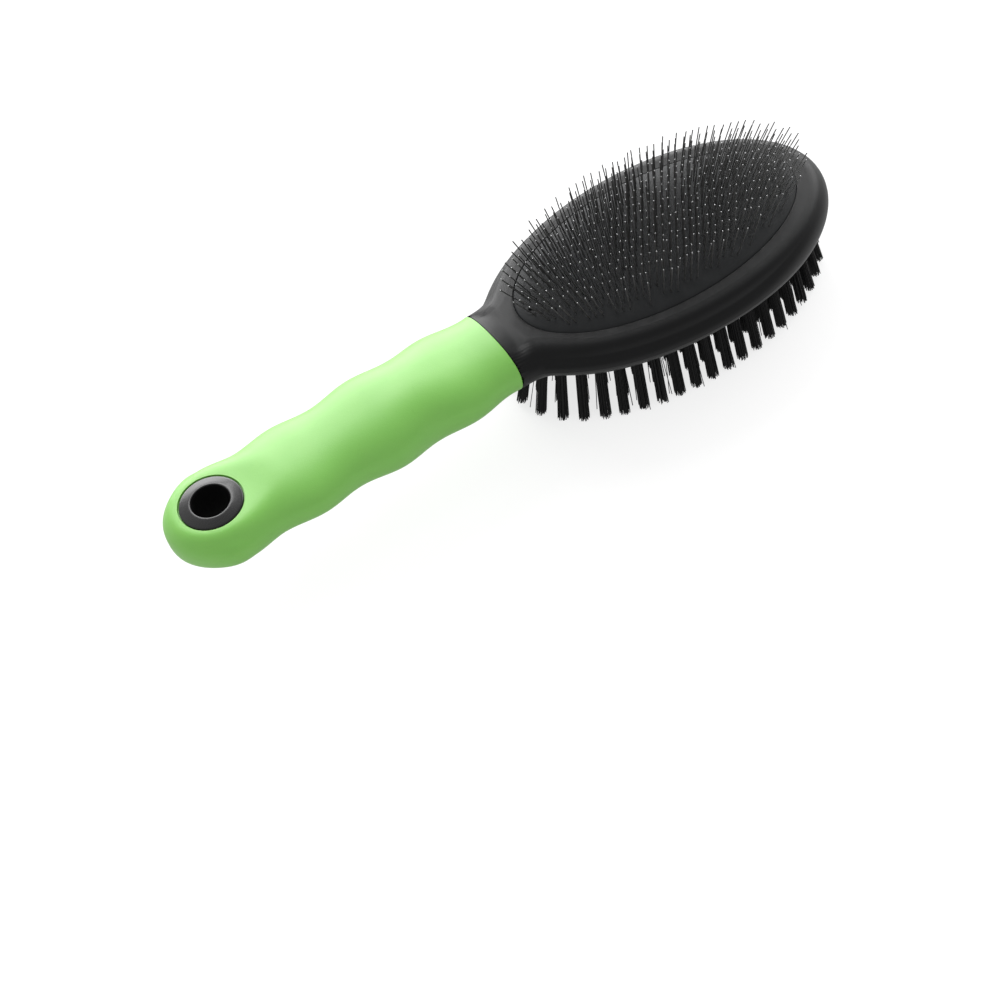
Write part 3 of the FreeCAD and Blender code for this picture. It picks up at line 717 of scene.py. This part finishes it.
def oval_point(direction, half_length, half_width):
    """Where rays from the pad's centre leave an oval."""
    scale = 1.0 / np.hypot(direction[:, 0] / half_length, direction[:, 1] / half_width)
    return PAD_MIDDLE + direction * scale[:, None]


def head_rows():
    """Rows of points from the parting line up over the edge to the pad's opening.

    Every column lies on a ray from the pad's centre. A column that leaves through the neck's end
    starts with points up that end's face.
    """
    side = even_steps(SIDE_LINE, OUTLINE_STEP)
    across = np.linspace(NECK_HALF_WIDTH, -NECK_HALF_WIDTH, NECK_END_POINTS)[1:-1]
    end = np.stack([np.full(len(across), NECK_PLACE), across], axis=1)
    lower = side[:-1][::-1] * (1.0, -1.0)
    outline = np.concatenate([side, lower, end[::-1]])
    direction = outline - PAD_MIDDLE
    direction /= np.linalg.norm(direction, axis=1)[:, None]
    opening = oval_point(direction, PAD_HALF_LENGTH + PAD_GAP, PAD_HALF_WIDTH + PAD_GAP)
    share = np.linspace(0.0, 1.0, RAY_POINTS) ** RAY_CROWDING
    ray = outline[:, None, :] + share[None, :, None] * (opening - outline)[:, None, :]
    depth = edge_distance(ray.reshape(-1, 2)).reshape(len(outline), RAY_POINTS)
    depth = np.maximum.accumulate(depth, axis=1)
    at_end = head_height(outline, depth[:, 0])
    rows = []
    for inset, height in EDGE_LINE:
        inside = depth[:, 0] < inset
        reach = np.array([np.interp(inset, depth[i], share) for i in range(len(outline))])
        plan = outline + reach[:, None] * (opening - outline)
        top = head_height(plan, np.maximum(inset, depth[:, 0]))
        face = at_end * height / np.maximum(np.interp(depth[:, 0], *EDGE_LINE.T), 1e-3)
        face = np.minimum(face, at_end)
        rows.append(np.column_stack([plan, np.where(inside, top, face)]))
    last = rows[-1]
    for step in np.linspace(0.0, 1.0, PLATEAU_ROWS)[1:-1]:
        plan = last[:, :2] + step * (opening - last[:, :2])
        rows.append(np.column_stack([plan, head_height(plan, edge_distance(plan))]))
    return np.array(rows), direction, opening


HEAD_ROWS, HEAD_RAYS, OPENING = head_rows()


def level(plan, height):
    """Plan points set at one height."""
    return np.column_stack([plan, np.full(len(plan), height)])


def pin_side_head():
    """The upper shell: over the plateau, down the opening's edge and back along the parting."""
    rows = list(HEAD_ROWS)
    out = (OPENING - PAD_MIDDLE) / np.linalg.norm(OPENING - PAD_MIDDLE, axis=1)[:, None]
    for angle in np.radians(LIP_ANGLES):
        plan = OPENING + out * OPENING_LIP * (1.0 - np.sin(angle))
        rows.append(level(plan, PLATEAU - OPENING_LIP * (1.0 - np.cos(angle))))
    cavity = oval_point(HEAD_RAYS, PAD_HALF_LENGTH + PAD_GAP + FLANGE_WIDTH,
                        PAD_HALF_WIDTH + PAD_GAP + FLANGE_WIDTH)
    ceiling = PLATEAU - PLATEAU_WALL
    rows += [level(OPENING, ceiling), level(cavity, ceiling), level(cavity, 0.0)]
    rows = np.array(rows)
    faces = strips(len(rows), rows.shape[1], closed=True)
    piece = new_piece("head_shell_pin_side", rows.reshape(-1, 3), faces, "shell")
    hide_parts("pin_side_shell")


def bristle_side_head(tufts):
    """The lower shell: the same edge, and a flat block drilled for the tufts."""
    rows = [row * (1.0, 1.0, -1.0) for row in HEAD_ROWS]
    for share in np.linspace(1.0, 0.0, BLOCK_ROWS)[:-1]:
        rows.append(level(PAD_MIDDLE + (OPENING - PAD_MIDDLE) * share, -PLATEAU))
    inside = oval_point(HEAD_RAYS, PAD_HALF_LENGTH, PAD_HALF_WIDTH)
    floor = BLOCK_THICKNESS - PLATEAU
    rows = [level(inside, floor), level(inside, 0.0)] + rows
    columns = len(HEAD_RAYS)
    below = len(rows) * columns
    above = below + 1
    points = np.concatenate([np.array(rows).reshape(-1, 3),
                             [(PAD_CENTRE, 0.0, -PLATEAU), (PAD_CENTRE, 0.0, floor)]])
    faces = strips(len(rows), columns, flip=True)
    faces += fan(below, below - columns, columns) + fan(above, 0, columns, flip=True)
    piece = new_piece("head_shell_bristle_side", points, faces, "shell")
    drills = [tube_between(base, base + axis * (TUFT_DEPTH + DRILL_OVERRUN), TUFT_HOLE_RADIUS,
                           TUFT_HOLE_SIDES) for base, axis in tufts]
    carve(piece, *gather(drills))
    dress(piece, "shell")
    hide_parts("bristle_side_shell")


# ------------------------------ grip and ring

def grip_half_size(x):
    """Half-width and half-height of the grip: finger waves, a belly and a round butt."""
    width = GRIP_HALF_WIDTH + WAVE_DEPTH * np.cos(2.0 * np.pi * x / WAVE_PITCH)
    height = GRIP_HALF_HEIGHT + BELLY_RISE * bell(x, BELLY_PLACE, BELLY_SPREAD)
    along = np.clip(x / SLEEVE_LOW[0], 0.0, 1.0)
    return width * np.sqrt(1.0 - along ** 2), height * (1.0 - along ** 3) ** (1.0 / 3.0)


def led_to_ring(points):
    """The grip's surface led level with the bezel's edge, over a run that is longer headwards."""
    radius = np.hypot(points[:, 0], points[:, 1])
    to_head = np.clip(points[:, 0] / np.maximum(radius, 1e-6), 0.0, 1.0)
    run = LAND_RUN * (1.0 + LAND_STRETCH * to_head)
    share = smooth(1.0 - np.clip((radius - BEZEL_RADIUS - BEZEL_GROOVE) / run, 0.0, 1.0))
    land = np.sign(points[:, 2]) * BEZEL_EDGE
    return np.column_stack([points[:, :2], points[:, 2] + share * (land - points[:, 2])])


def grip_piece():
    """The sleeve: sections from butt to neck, rolled in at the neck, bored for the ring."""
    butt, end = SLEEVE_LOW[0], SLEEVE_HIGH[0]
    turn = np.linspace(0.0, np.pi / 2.0, BUTT_SECTIONS)[1:]
    stations = list(butt * np.cos(turn)[:-1]) + list(np.arange(0.0, end - NECK_ROLL, GRIP_STEP))
    sizes = [grip_half_size(x) for x in stations]
    for angle in np.radians(NECK_ROLL_ANGLES):
        width, height = grip_half_size(end - NECK_ROLL)
        inset = NECK_ROLL * (1.0 - np.cos(angle))
        stations.append(end - NECK_ROLL + NECK_ROLL * np.sin(angle))
        sizes.append((width - inset, height - inset))
    angle = np.linspace(0.0, 2.0 * np.pi, GRIP_SIDES, endpoint=False)
    side, rise = (np.sign(part) * np.abs(part) ** (2.0 / GRIP_POWER)
                  for part in (np.cos(angle), np.sin(angle)))
    rows = [np.column_stack([np.full(GRIP_SIDES, x), width * side, height * rise])
            for x, (width, height) in zip(stations, sizes)]
    points = np.concatenate([led_to_ring(np.array(rows).reshape(-1, 3)),
                             [(butt, 0.0, 0.0), (end, 0.0, 0.0)]])
    count = len(rows) * GRIP_SIDES
    faces = strips(len(rows), GRIP_SIDES, flip=True) + fan(count, 0, GRIP_SIDES)
    faces += fan(count + 1, count - GRIP_SIDES, GRIP_SIDES, flip=True)
    piece = new_piece("grip_sleeve_soft", points, faces, "grip")
    seat_radius = BEZEL_RADIUS + BEZEL_GROOVE
    tall = 2.0 * SLEEVE_HIGH[2]
    barrel = BEZEL_SEAT + BARREL_OVERCUT
    for low, high, radius in ((BEZEL_SEAT, tall, seat_radius), (-tall, -BEZEL_SEAT, seat_radius),
                              (-barrel, barrel, BARREL_RADIUS)):
        carve(piece, *tube_between((0, 0, low), (0, 0, high), radius, RING_SIDES))
    dress(piece, "grip")
    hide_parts("grip_sleeve")


def ring_piece(name, node, side):
    """Half of the hanging ring: a barrel under a bezel that falls away from a soft inner lip."""
    crown = round_off(np.array(BEZEL_CROWN), CROWN_ROUNDINGS)
    profile = np.concatenate([[(BARREL_RADIUS, RING_SPLIT), (BARREL_RADIUS, BEZEL_SEAT),
                               (BEZEL_RADIUS, BEZEL_SEAT)], crown, [(HOLE_RADIUS, RING_SPLIT)]])
    turn = np.linspace(0.0, 2.0 * np.pi, RING_SIDES, endpoint=False)
    rows = [np.column_stack([r * np.cos(turn), r * np.sin(turn), np.full(RING_SIDES, side * z)])
            for r, z in profile]
    faces = strips(len(rows), RING_SIDES, closed=True, flip=side < 0)
    piece = new_piece(name, np.array(rows).reshape(-1, 3), faces, "ring")
    # The bore's faces get the darker copy of the black, which paints the shade in the hole.
    piece.data.materials.append(BORE_SHADE_FINISH)
    for face in piece.data.polygons:
        if face.center.xy.length < (HOLE_RADIUS + BORE_BAND) * MM:
            face.material_index = 1
    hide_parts(node)


# ------------------------------ cushion

def disc_grid(columns, rows):
    """A square grid of points bent to fill the unit disc."""
    u, v = np.meshgrid(np.linspace(-1.0, 1.0, columns), np.linspace(-1.0, 1.0, rows))
    return np.column_stack([(u * np.sqrt(1.0 - v ** 2 / 2.0)).ravel(),
                            (v * np.sqrt(1.0 - u ** 2 / 2.0)).ravel()])


def grid_border(columns, rows):
    """Indices round a grid's edge, counter-clockwise."""
    bottom = list(range(columns))
    right = [row * columns + columns - 1 for row in range(1, rows)]
    top = [(rows - 1) * columns + column for column in range(columns - 2, -1, -1)]
    left = [row * columns for row in range(rows - 2, 0, -1)]
    return bottom + right + top + left


def staple_places():
    """Plan points of the wires' legs, in pairs, by column along the pad.

    Each column is shifted against the one before it, as on woven card cloth. No wire stands in the
    vent, and the outermost leg of a column is left off where it has no partner.
    """
    half_length = PAD_HALF_LENGTH - PIN_FIELD_MARGIN
    half_width = PAD_HALF_WIDTH - PIN_FIELD_MARGIN
    vent_space = VENT_RADIUS + PIN_VENT_CLEAR + WIRE_RADIUS
    columns = int(half_length / PIN_COLUMN_PITCH)
    bands = {band: [] for band in PIN_BANDS}
    for column in range(-columns, columns + 1):
        x = PAD_CENTRE + column * PIN_COLUMN_PITCH
        reach = half_width * math.sqrt(1.0 - (column * PIN_COLUMN_PITCH / half_length) ** 2)
        shift = -PIN_ROW_PITCH * (column % TWILL) / TWILL
        count = int(reach / PIN_ROW_PITCH) + 2
        legs = [step * PIN_ROW_PITCH + shift for step in range(-count, count + 1)]
        legs = [y for y in legs if abs(y) <= reach and math.hypot(x - VENT_PLACE, y) > vent_space]
        if len(legs) % 2:
            legs.remove(max(legs, key=abs))
        band = min(len(PIN_BANDS) - 1, (column + columns) * len(PIN_BANDS) // (2 * columns + 1))
        for low, high in zip(legs[0::2], legs[1::2]):
            bands[PIN_BANDS[band]].append(((x, low), (x, high)))
    return bands


STAPLES = staple_places()


def dome_height(plan, half_length, half_width, rise):
    """Height of an oval dome over plan points."""
    inside = 1.0 - ((plan[:, 0] - PAD_CENTRE) / half_length) ** 2 - (plan[:, 1] / half_width) ** 2
    return DOME_BASE + rise * np.sqrt(np.clip(inside, 0.0, 1.0))


def outer_dome(plan):
    """Height of the rubber's top before its relief."""
    return dome_height(plan, PAD_HALF_LENGTH * DOME_SPREAD, PAD_HALF_WIDTH * DOME_SPREAD, DOME_RISE)


def nearest_gap(plan, places):
    """Distance of plan points from the nearest of some places."""
    gap = np.full(len(plan), np.inf)
    for x, y in places:
        gap = np.minimum(gap, np.hypot(plan[:, 0] - x, plan[:, 1] - y))
    return gap


def pin_direction(x, y):
    """The way a pin points: upright in the middle of the pad, fanned out towards its edge."""
    along = (x - PAD_CENTRE) / (PAD_HALF_LENGTH - PIN_FIELD_MARGIN)
    across = y / (PAD_HALF_WIDTH - PIN_FIELD_MARGIN)
    end = FAN_TIP if along > 0 else FAN_NECK
    lengthways = math.radians(end) * math.copysign(abs(along) ** FAN_POWER, along)
    sideways = math.radians(FAN_SIDE) * across
    way = np.array([math.tan(lengthways), math.tan(sideways), 1.0])
    return way / np.linalg.norm(way)


def pin(root, tip):
    """A staple's leg: round wire, with the faces of its rounded, polished, glint-painted end last."""
    along = (tip - root) / np.linalg.norm(tip - root)
    circle = WIRE_RADIUS * circle_round(along, WIRE_SIDES)
    rings = [root + circle, tip - along * POLISHED_GLINT_RUN + circle]
    for angle in np.radians(PIN_END_ANGLES):
        centre = tip - along * WIRE_RADIUS * (1.0 - math.sin(angle))
        rings.append(centre + math.cos(angle) * circle)
    return rod(rings)


def pin_piece(band, random):
    """The staples of one band: two slightly uneven pins each, joined by a crown under the rubber."""
    made, polished, count = [], [], 0
    for pair in STAPLES[band]:
        roots = []
        for x, y in pair:
            way = pin_direction(x, y)
            foot = np.array([x, y, outer_dome(np.array([[x, y]]))[0]])
            root = foot - way * STAPLE_GRIP
            bent = way + np.append(random.normal(0.0, PIN_UNEVEN, 2), 0.0)
            bent /= np.linalg.norm(bent)
            tip = foot + bent * (PIN_LENGTH - abs(random.normal(0.0, PIN_SHORTFALL)))
            made.append(pin(root, tip))
            roots.append(root)
            count += len(made[-1][1])
            polished += range(count - POLISHED_GLINT_FACES, count)
        made.append(tube_between(*roots, WIRE_RADIUS, WIRE_SIDES))
        count += len(made[-1][1])
    points, faces = gather(made)
    piece = new_piece("pin_wires_" + band, points, faces, "pin_wire", body="pin_pad")
    # The ends take the paler finish: polished, and painted with a glint.
    piece.data.materials.append(PIN_END_GLINT_FINISH)
    for index in polished:
        piece.data.polygons[index].material_index = 1
    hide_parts("pin_staples_" + band)


def rubber_top(disc, plan):
    """Height of the rubber's top: the dome with its rim turned down, its dimples and the vent's lip."""
    edge = np.clip(1.0 - np.linalg.norm(disc, axis=1), 0.0, 1.0) * PAD_HALF_WIDTH
    drop = RIM_DROP + RIM_DROP_AT_NECK * np.clip(-disc[:, 0], 0.0, 1.0) ** 2
    top = outer_dome(plan) - drop * np.exp(-edge / RIM_DROP_RUN)
    legs = [leg for staples in STAPLES.values() for pair in staples for leg in pair]
    gap = nearest_gap(plan, legs)
    dimple = (SWELL_HEIGHT * bell(gap, SWELL_RADIUS, SWELL_SPREAD)
              - DIMPLE_DEPTH * bell(gap, 0.0, DIMPLE_SPREAD))
    top += np.where(gap < DIMPLE_REACH, dimple, 0.0)
    from_vent = nearest_gap(plan, [(VENT_PLACE, 0.0)])
    return top + VENT_LIP_HEIGHT * bell(from_vent, VENT_LIP_RADIUS, VENT_LIP_SPREAD)


def cushion_piece():
    """The rubber membrane: top, side wall, flange and underside, with the vent cut through."""
    columns, rows = PAD_GRID
    disc = disc_grid(columns, rows)
    size = np.array([PAD_HALF_LENGTH, PAD_HALF_WIDTH]) + PAD_BULGE
    plan = PAD_MIDDLE + disc * size
    top = rubber_top(disc, plan)
    under = dome_height(plan, PAD_HALF_LENGTH - PAD_SIDE_WALL, PAD_HALF_WIDTH - PAD_SIDE_WALL,
                        DOME_RISE - MEMBRANE)
    seat = PLATEAU - PLATEAU_WALL - FLANGE_THICKNESS
    border = grid_border(columns, rows)
    rim = disc[border]
    inner = 1.0 - PAD_SIDE_WALL / size
    flange = seat + FLANGE_THICKNESS
    wide = size + FLANGE_WIDTH
    loops = [level(PAD_MIDDLE + rim * reach, height)
             for reach, height in ((size, flange), (wide, flange), (wide, seat))]
    loops.append(level(PAD_MIDDLE + rim * size * inner, seat))
    under = np.minimum(under, top - THINNEST_RUBBER)
    points = np.concatenate([np.column_stack([plan, top]),
                             np.column_stack([PAD_MIDDLE + disc * size * inner, under])] + loops)
    grid = len(plan)
    faces = strips(rows, columns, ring=False)
    faces += strips(rows, columns, first=grid, ring=False, flip=True)
    chain = [border] + [[2 * grid + loop * len(border) + i for i in range(len(border))]
                        for loop in range(len(loops))] + [[grid + i for i in border]]
    for outer, following in zip(chain, chain[1:]):
        for i in range(len(border)):
            j = (i + 1) % len(border)
            faces.append((outer[i], following[i], following[j], outer[j]))
    piece = new_piece("pin_cushion_rubber", points, faces, "cushion")
    vent = [(VENT_PLACE, 0.0, height) for height in VENT_CUT]
    carve(piece, *tube_between(*vent, VENT_RADIUS, VENT_SIDES))
    dress(piece, "cushion")
    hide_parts("pin_cushion")
    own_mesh(piece)


# ------------------------------ tufts

def islands(mesh):
    """Vertex positions of each separate solid in a mesh, in millimetres."""
    parent = list(range(len(mesh.vertices)))

    def root(index):
        while parent[index] != index:
            parent[index] = parent[parent[index]]
            index = parent[index]
        return index

    places = np.array([vertex.co for vertex in mesh.vertices]) / MM
    _, same = np.unique(np.round(places, 4), axis=0, return_inverse=True)
    first_at = {}
    for index, key in enumerate(same.ravel()):
        parent[index] = first_at.setdefault(key, index)
    for edge in mesh.edges:
        low, high = root(edge.vertices[0]), root(edge.vertices[1])
        parent[high] = low
    groups = {}
    for index in range(len(places)):
        groups.setdefault(root(index), []).append(index)
    return [places[members] for members in groups.values()]


def tuft_axes(node):
    """Where each tuft of a node starts, at its hole's bottom, and the way and length it grows."""
    found = []
    for cloud in islands(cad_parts[node].data):
        middle = cloud.mean(0)
        along = np.linalg.svd(cloud - middle, full_matrices=False)[2][0]
        along = along if along[2] < 0 else -along
        reach = (cloud - middle) @ along
        base = cloud[reach < reach.min() + TUFT_END_BAND].mean(0)
        tip = cloud[reach > reach.max() - TUFT_END_BAND].mean(0)
        length = np.linalg.norm(tip - base)
        found.append((base, (tip - base) / length, length))
    return sorted(found, key=lambda item: (round(item[0][0], 2), round(item[0][1], 2)))


def filament(start, end, bow, circle):
    """One bristle: a thin bar of a given section, bowed a little."""
    rings = []
    for share in np.linspace(0.0, 1.0, FILAMENT_LEVELS):
        rings.append(start + (end - start) * share + bow * math.sin(math.pi * share) + circle)
    return rod(rings)


def tuft_filaments(base, along, length, random):
    """A bundle of bristles packed in the hole and trimmed level, now and then with a stray."""
    side, other = square_to(along)
    circle = circle_round(along, FILAMENT_SIDES)
    trim = (base + along * length)[2]
    packed = TUFT_HOLE_RADIUS - FILAMENT_FIT - FILAMENT_RADIUS

    def uneven(spread):
        return random.normal(0.0, spread) * side + random.normal(0.0, spread) * other

    made = []
    for index in range(FILAMENT_COUNT):
        spread = math.sqrt((index + 0.5) / FILAMENT_COUNT) * packed
        angle = index * GOLDEN_ANGLE + random.normal(0.0, TURN_UNEVEN)
        offset = spread * (math.cos(angle) * side + math.sin(angle) * other)
        start = base + offset
        splay = offset * TUFT_SPLAY + uneven(LEAN_UNEVEN)
        level_at = trim + abs(random.normal(0.0, TRIM_UNEVEN))
        if random.random() < STRAY_SHARE:
            splay = splay * STRAY_SPLAY + offset * random.uniform(*STRAY_OFFSET)
            level_at += random.uniform(0.0, STRAY_SHORTFALL)
        way = along * length + splay
        end = start + way * (level_at - start[2]) / way[2]
        end = np.clip(end, BRUSH_LOW + FILAMENT_RADIUS, BRUSH_HIGH - FILAMENT_RADIUS)
        bow = uneven(BOW_UNEVEN)
        thick = FILAMENT_RADIUS * random.uniform(FILAMENT_THINNEST, 1.0)
        made.append(filament(start, end, bow, thick * circle))
    return made


def tuft_piece(row, tufts, random):
    """All the tufts of one ring or row."""
    made = []
    for base, along, length in tufts:
        made += tuft_filaments(base, along, length, random)
    points, faces = gather(made)
    piece = new_piece("filaments_" + row, points, faces, "filament")
    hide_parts("tufts_" + row)


# ------------------------------ making the brush

# Each slot's finish, and the angle in degrees above which its edges stay sharp.
SLOTS = {"grip": (soft_grip(), 35.0), "ring": (ring_gloss(), 40.0), "shell": (head_satin(), 50.0),
         "cushion": (pad_rubber(), 60.0), "pin_wire": (pin_steel(), 50.0),
         "filament": (filament_nylon(), 60.0)}
BORE_SHADE_FINISH = bore_painted_shade()
PIN_END_GLINT_FINISH = pin_end_polish_and_glint()

rows_of_tufts = {row: tuft_axes("tufts_" + row) for row in TUFT_ROWS}
all_tufts = [(base, along) for tufts in rows_of_tufts.values() for base, along, _ in tufts]

pin_side_head()
bristle_side_head(all_tufts)
grip_piece()
ring_piece("ring_pin_side", "hang_ring_pin_side", 1)
ring_piece("ring_bristle_side", "hang_ring_bristle_side", -1)
cushion_piece()
for number, band in enumerate(PIN_BANDS):
    pin_piece(band, np.random.default_rng(PIN_SEED + number))
for number, (row, tufts) in enumerate(rows_of_tufts.items()):
    tuft_piece(row, tufts, np.random.default_rng(TUFT_SEED + number))

# The hidden solids of the frame stay as they are and only get a finish.
HIDDEN_FINISHES = {"cushion_tray": tray_plastic(), "cushion_backing": backing_weave()}
HIDDEN_FINISHES |= dict.fromkeys(["tuft_anchors_" + row for row in TUFT_ROWS], anchor_brass())
for name, finish in HIDDEN_FINISHES.items():
    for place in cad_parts[name].material_slots:
        place.material = finish


# ------------------------------ stage, light and camera

# In millimetres, as the brush is. The lamps and the camera stand in metres.
FLOOR_REACH = 4000.0

# Share of its light that the floor, and the near side of the surroundings, lacks in a mirrored view.
FLOOR_DIM = 0.35
NEAR_SIDE_DIM = 0.6
NEAR_TO_FAR = (-0.40, 0.68)  # where the near side ends and the far side begins, from -1 to 1
FILL_LIGHT = 0.84  # what the surroundings give to the brush

# Lamps: the way each stands off the brush's middle, its width and height, and its radiance.
BRUSH_MIDDLE = (0.09, 0.0, 0.0)
LAMPS = {"key_light": ((0.15, 0.66, 0.73), 0.5, 0.5, 5.2),
         "side_light": ((0.86, 0.38, 0.36), 0.6, 0.4, 4.4),
         "back_light": ((0.25, 0.93, 0.25), 1.3, 0.45, 5.2)}

# The eye: right, up and back of the picture in the brush's own frame, and where it stands.
CAMERA_RIGHT = (0.819571, -0.559252, -0.124662)
CAMERA_UP = (0.515388, 0.624473, 0.586864)
CAMERA_BACK = (-0.250356, -0.545226, 0.800032)
CAMERA_PLACE = (-0.037747, -0.259078, 0.316740)
CAMERA_LENS = 55.097
SENSOR = 36.0
NEAREST_SEEN = 0.01


def grey(value):
    return (value, value, value)


def stage_floor():
    """A pale floor under the tufts that stays white to the eye and keeps a faint shadow.

    A mirrored view of it is dimmer, as of a floor in the shade of the brush.
    """
    finish = Finish("floor_white", Roughness=0.9, Emission_Strength=1.0)
    pale = finish.tint(finish.noise(30.0, detail=2.0), grey(0.54), grey(0.56))
    finish.feed("Base Color", finish.tint(finish.seen(), pale, grey(0.27)))
    glow = finish.seen() * (1.0 - FLOOR_DIM * finish.ray("Glossy"))
    finish.feed("Emission Color", finish.tint(glow, grey(0.0), grey(0.76)))
    corners = [(x * FLOOR_REACH, y * FLOOR_REACH, BRUSH_LOW[2])
               for x, y in ((-1, -1), (1, -1), (1, 1), (-1, 1))]
    floor = add_mesh("floor", corners, [(0, 1, 2, 3)])
    floor.data.materials.append(finish.material)


def soft_box(name, toward, width, height, radiance):
    """A lamp a metre off that looks at the middle of the brush."""
    lamp = bpy.data.lights.new(name, "AREA")
    lamp.shape = "RECTANGLE"
    lamp.size = width
    lamp.size_y = height
    lamp.energy = radiance * math.pi * width * height
    made = add_object(name, lamp)
    way = Vector(toward).normalized()
    made.location = Vector(BRUSH_MIDDLE) + way
    made.rotation_euler = (-way).to_track_quat("-Z", "Y").to_euler()


def surroundings():
    """Even, soft surroundings that are white where the eye sees them.

    A mirrored view of them is dimmer on the near side, as in a studio lit from behind the brush.
    """
    world = bpy.data.worlds.new("surroundings")
    bpy.context.scene.world = world
    world.use_nodes = True
    sky = Graph(world.node_tree)
    way = sky.node("ShaderNodeTexCoord", output="Generated")
    far = sky.node("ShaderNodeSeparateXYZ", {}, {0: way}, output="Y").step(*NEAR_TO_FAR)
    bright = 1.0 - NEAR_SIDE_DIM * sky.ray("Glossy") * (1.0 - far)
    white = grey(1.0) + (1.0,)
    fill = sky.node("ShaderNodeBackground", {}, {"Strength": FILL_LIGHT, "Color": white})
    seen = sky.node("ShaderNodeBackground", {}, {"Strength": bright, "Color": white})
    mixed = sky.node("ShaderNodeMixShader", {}, {0: sky.seen(), 1: fill, 2: seen})
    sky.tree.links.new(mixed.socket, sky.tree.nodes["World Output"].inputs["Surface"])


def camera():
    """The eye, with the photograph's angle and frame."""
    data = bpy.data.cameras.new("camera")
    data.sensor_width = SENSOR
    data.lens = CAMERA_LENS
    data.clip_start = NEAREST_SEEN
    made = add_object("camera", data)
    turn = Matrix((CAMERA_RIGHT, CAMERA_UP, CAMERA_BACK)).transposed()
    made.matrix_world = Matrix.Translation(CAMERA_PLACE) @ turn.to_4x4()
    bpy.context.scene.camera = made


stage_floor()
surroundings()
for name, lamp in LAMPS.items():
    soft_box(name, *lamp)
camera()
bpy.context.scene.view_settings.view_transform = "Standard"
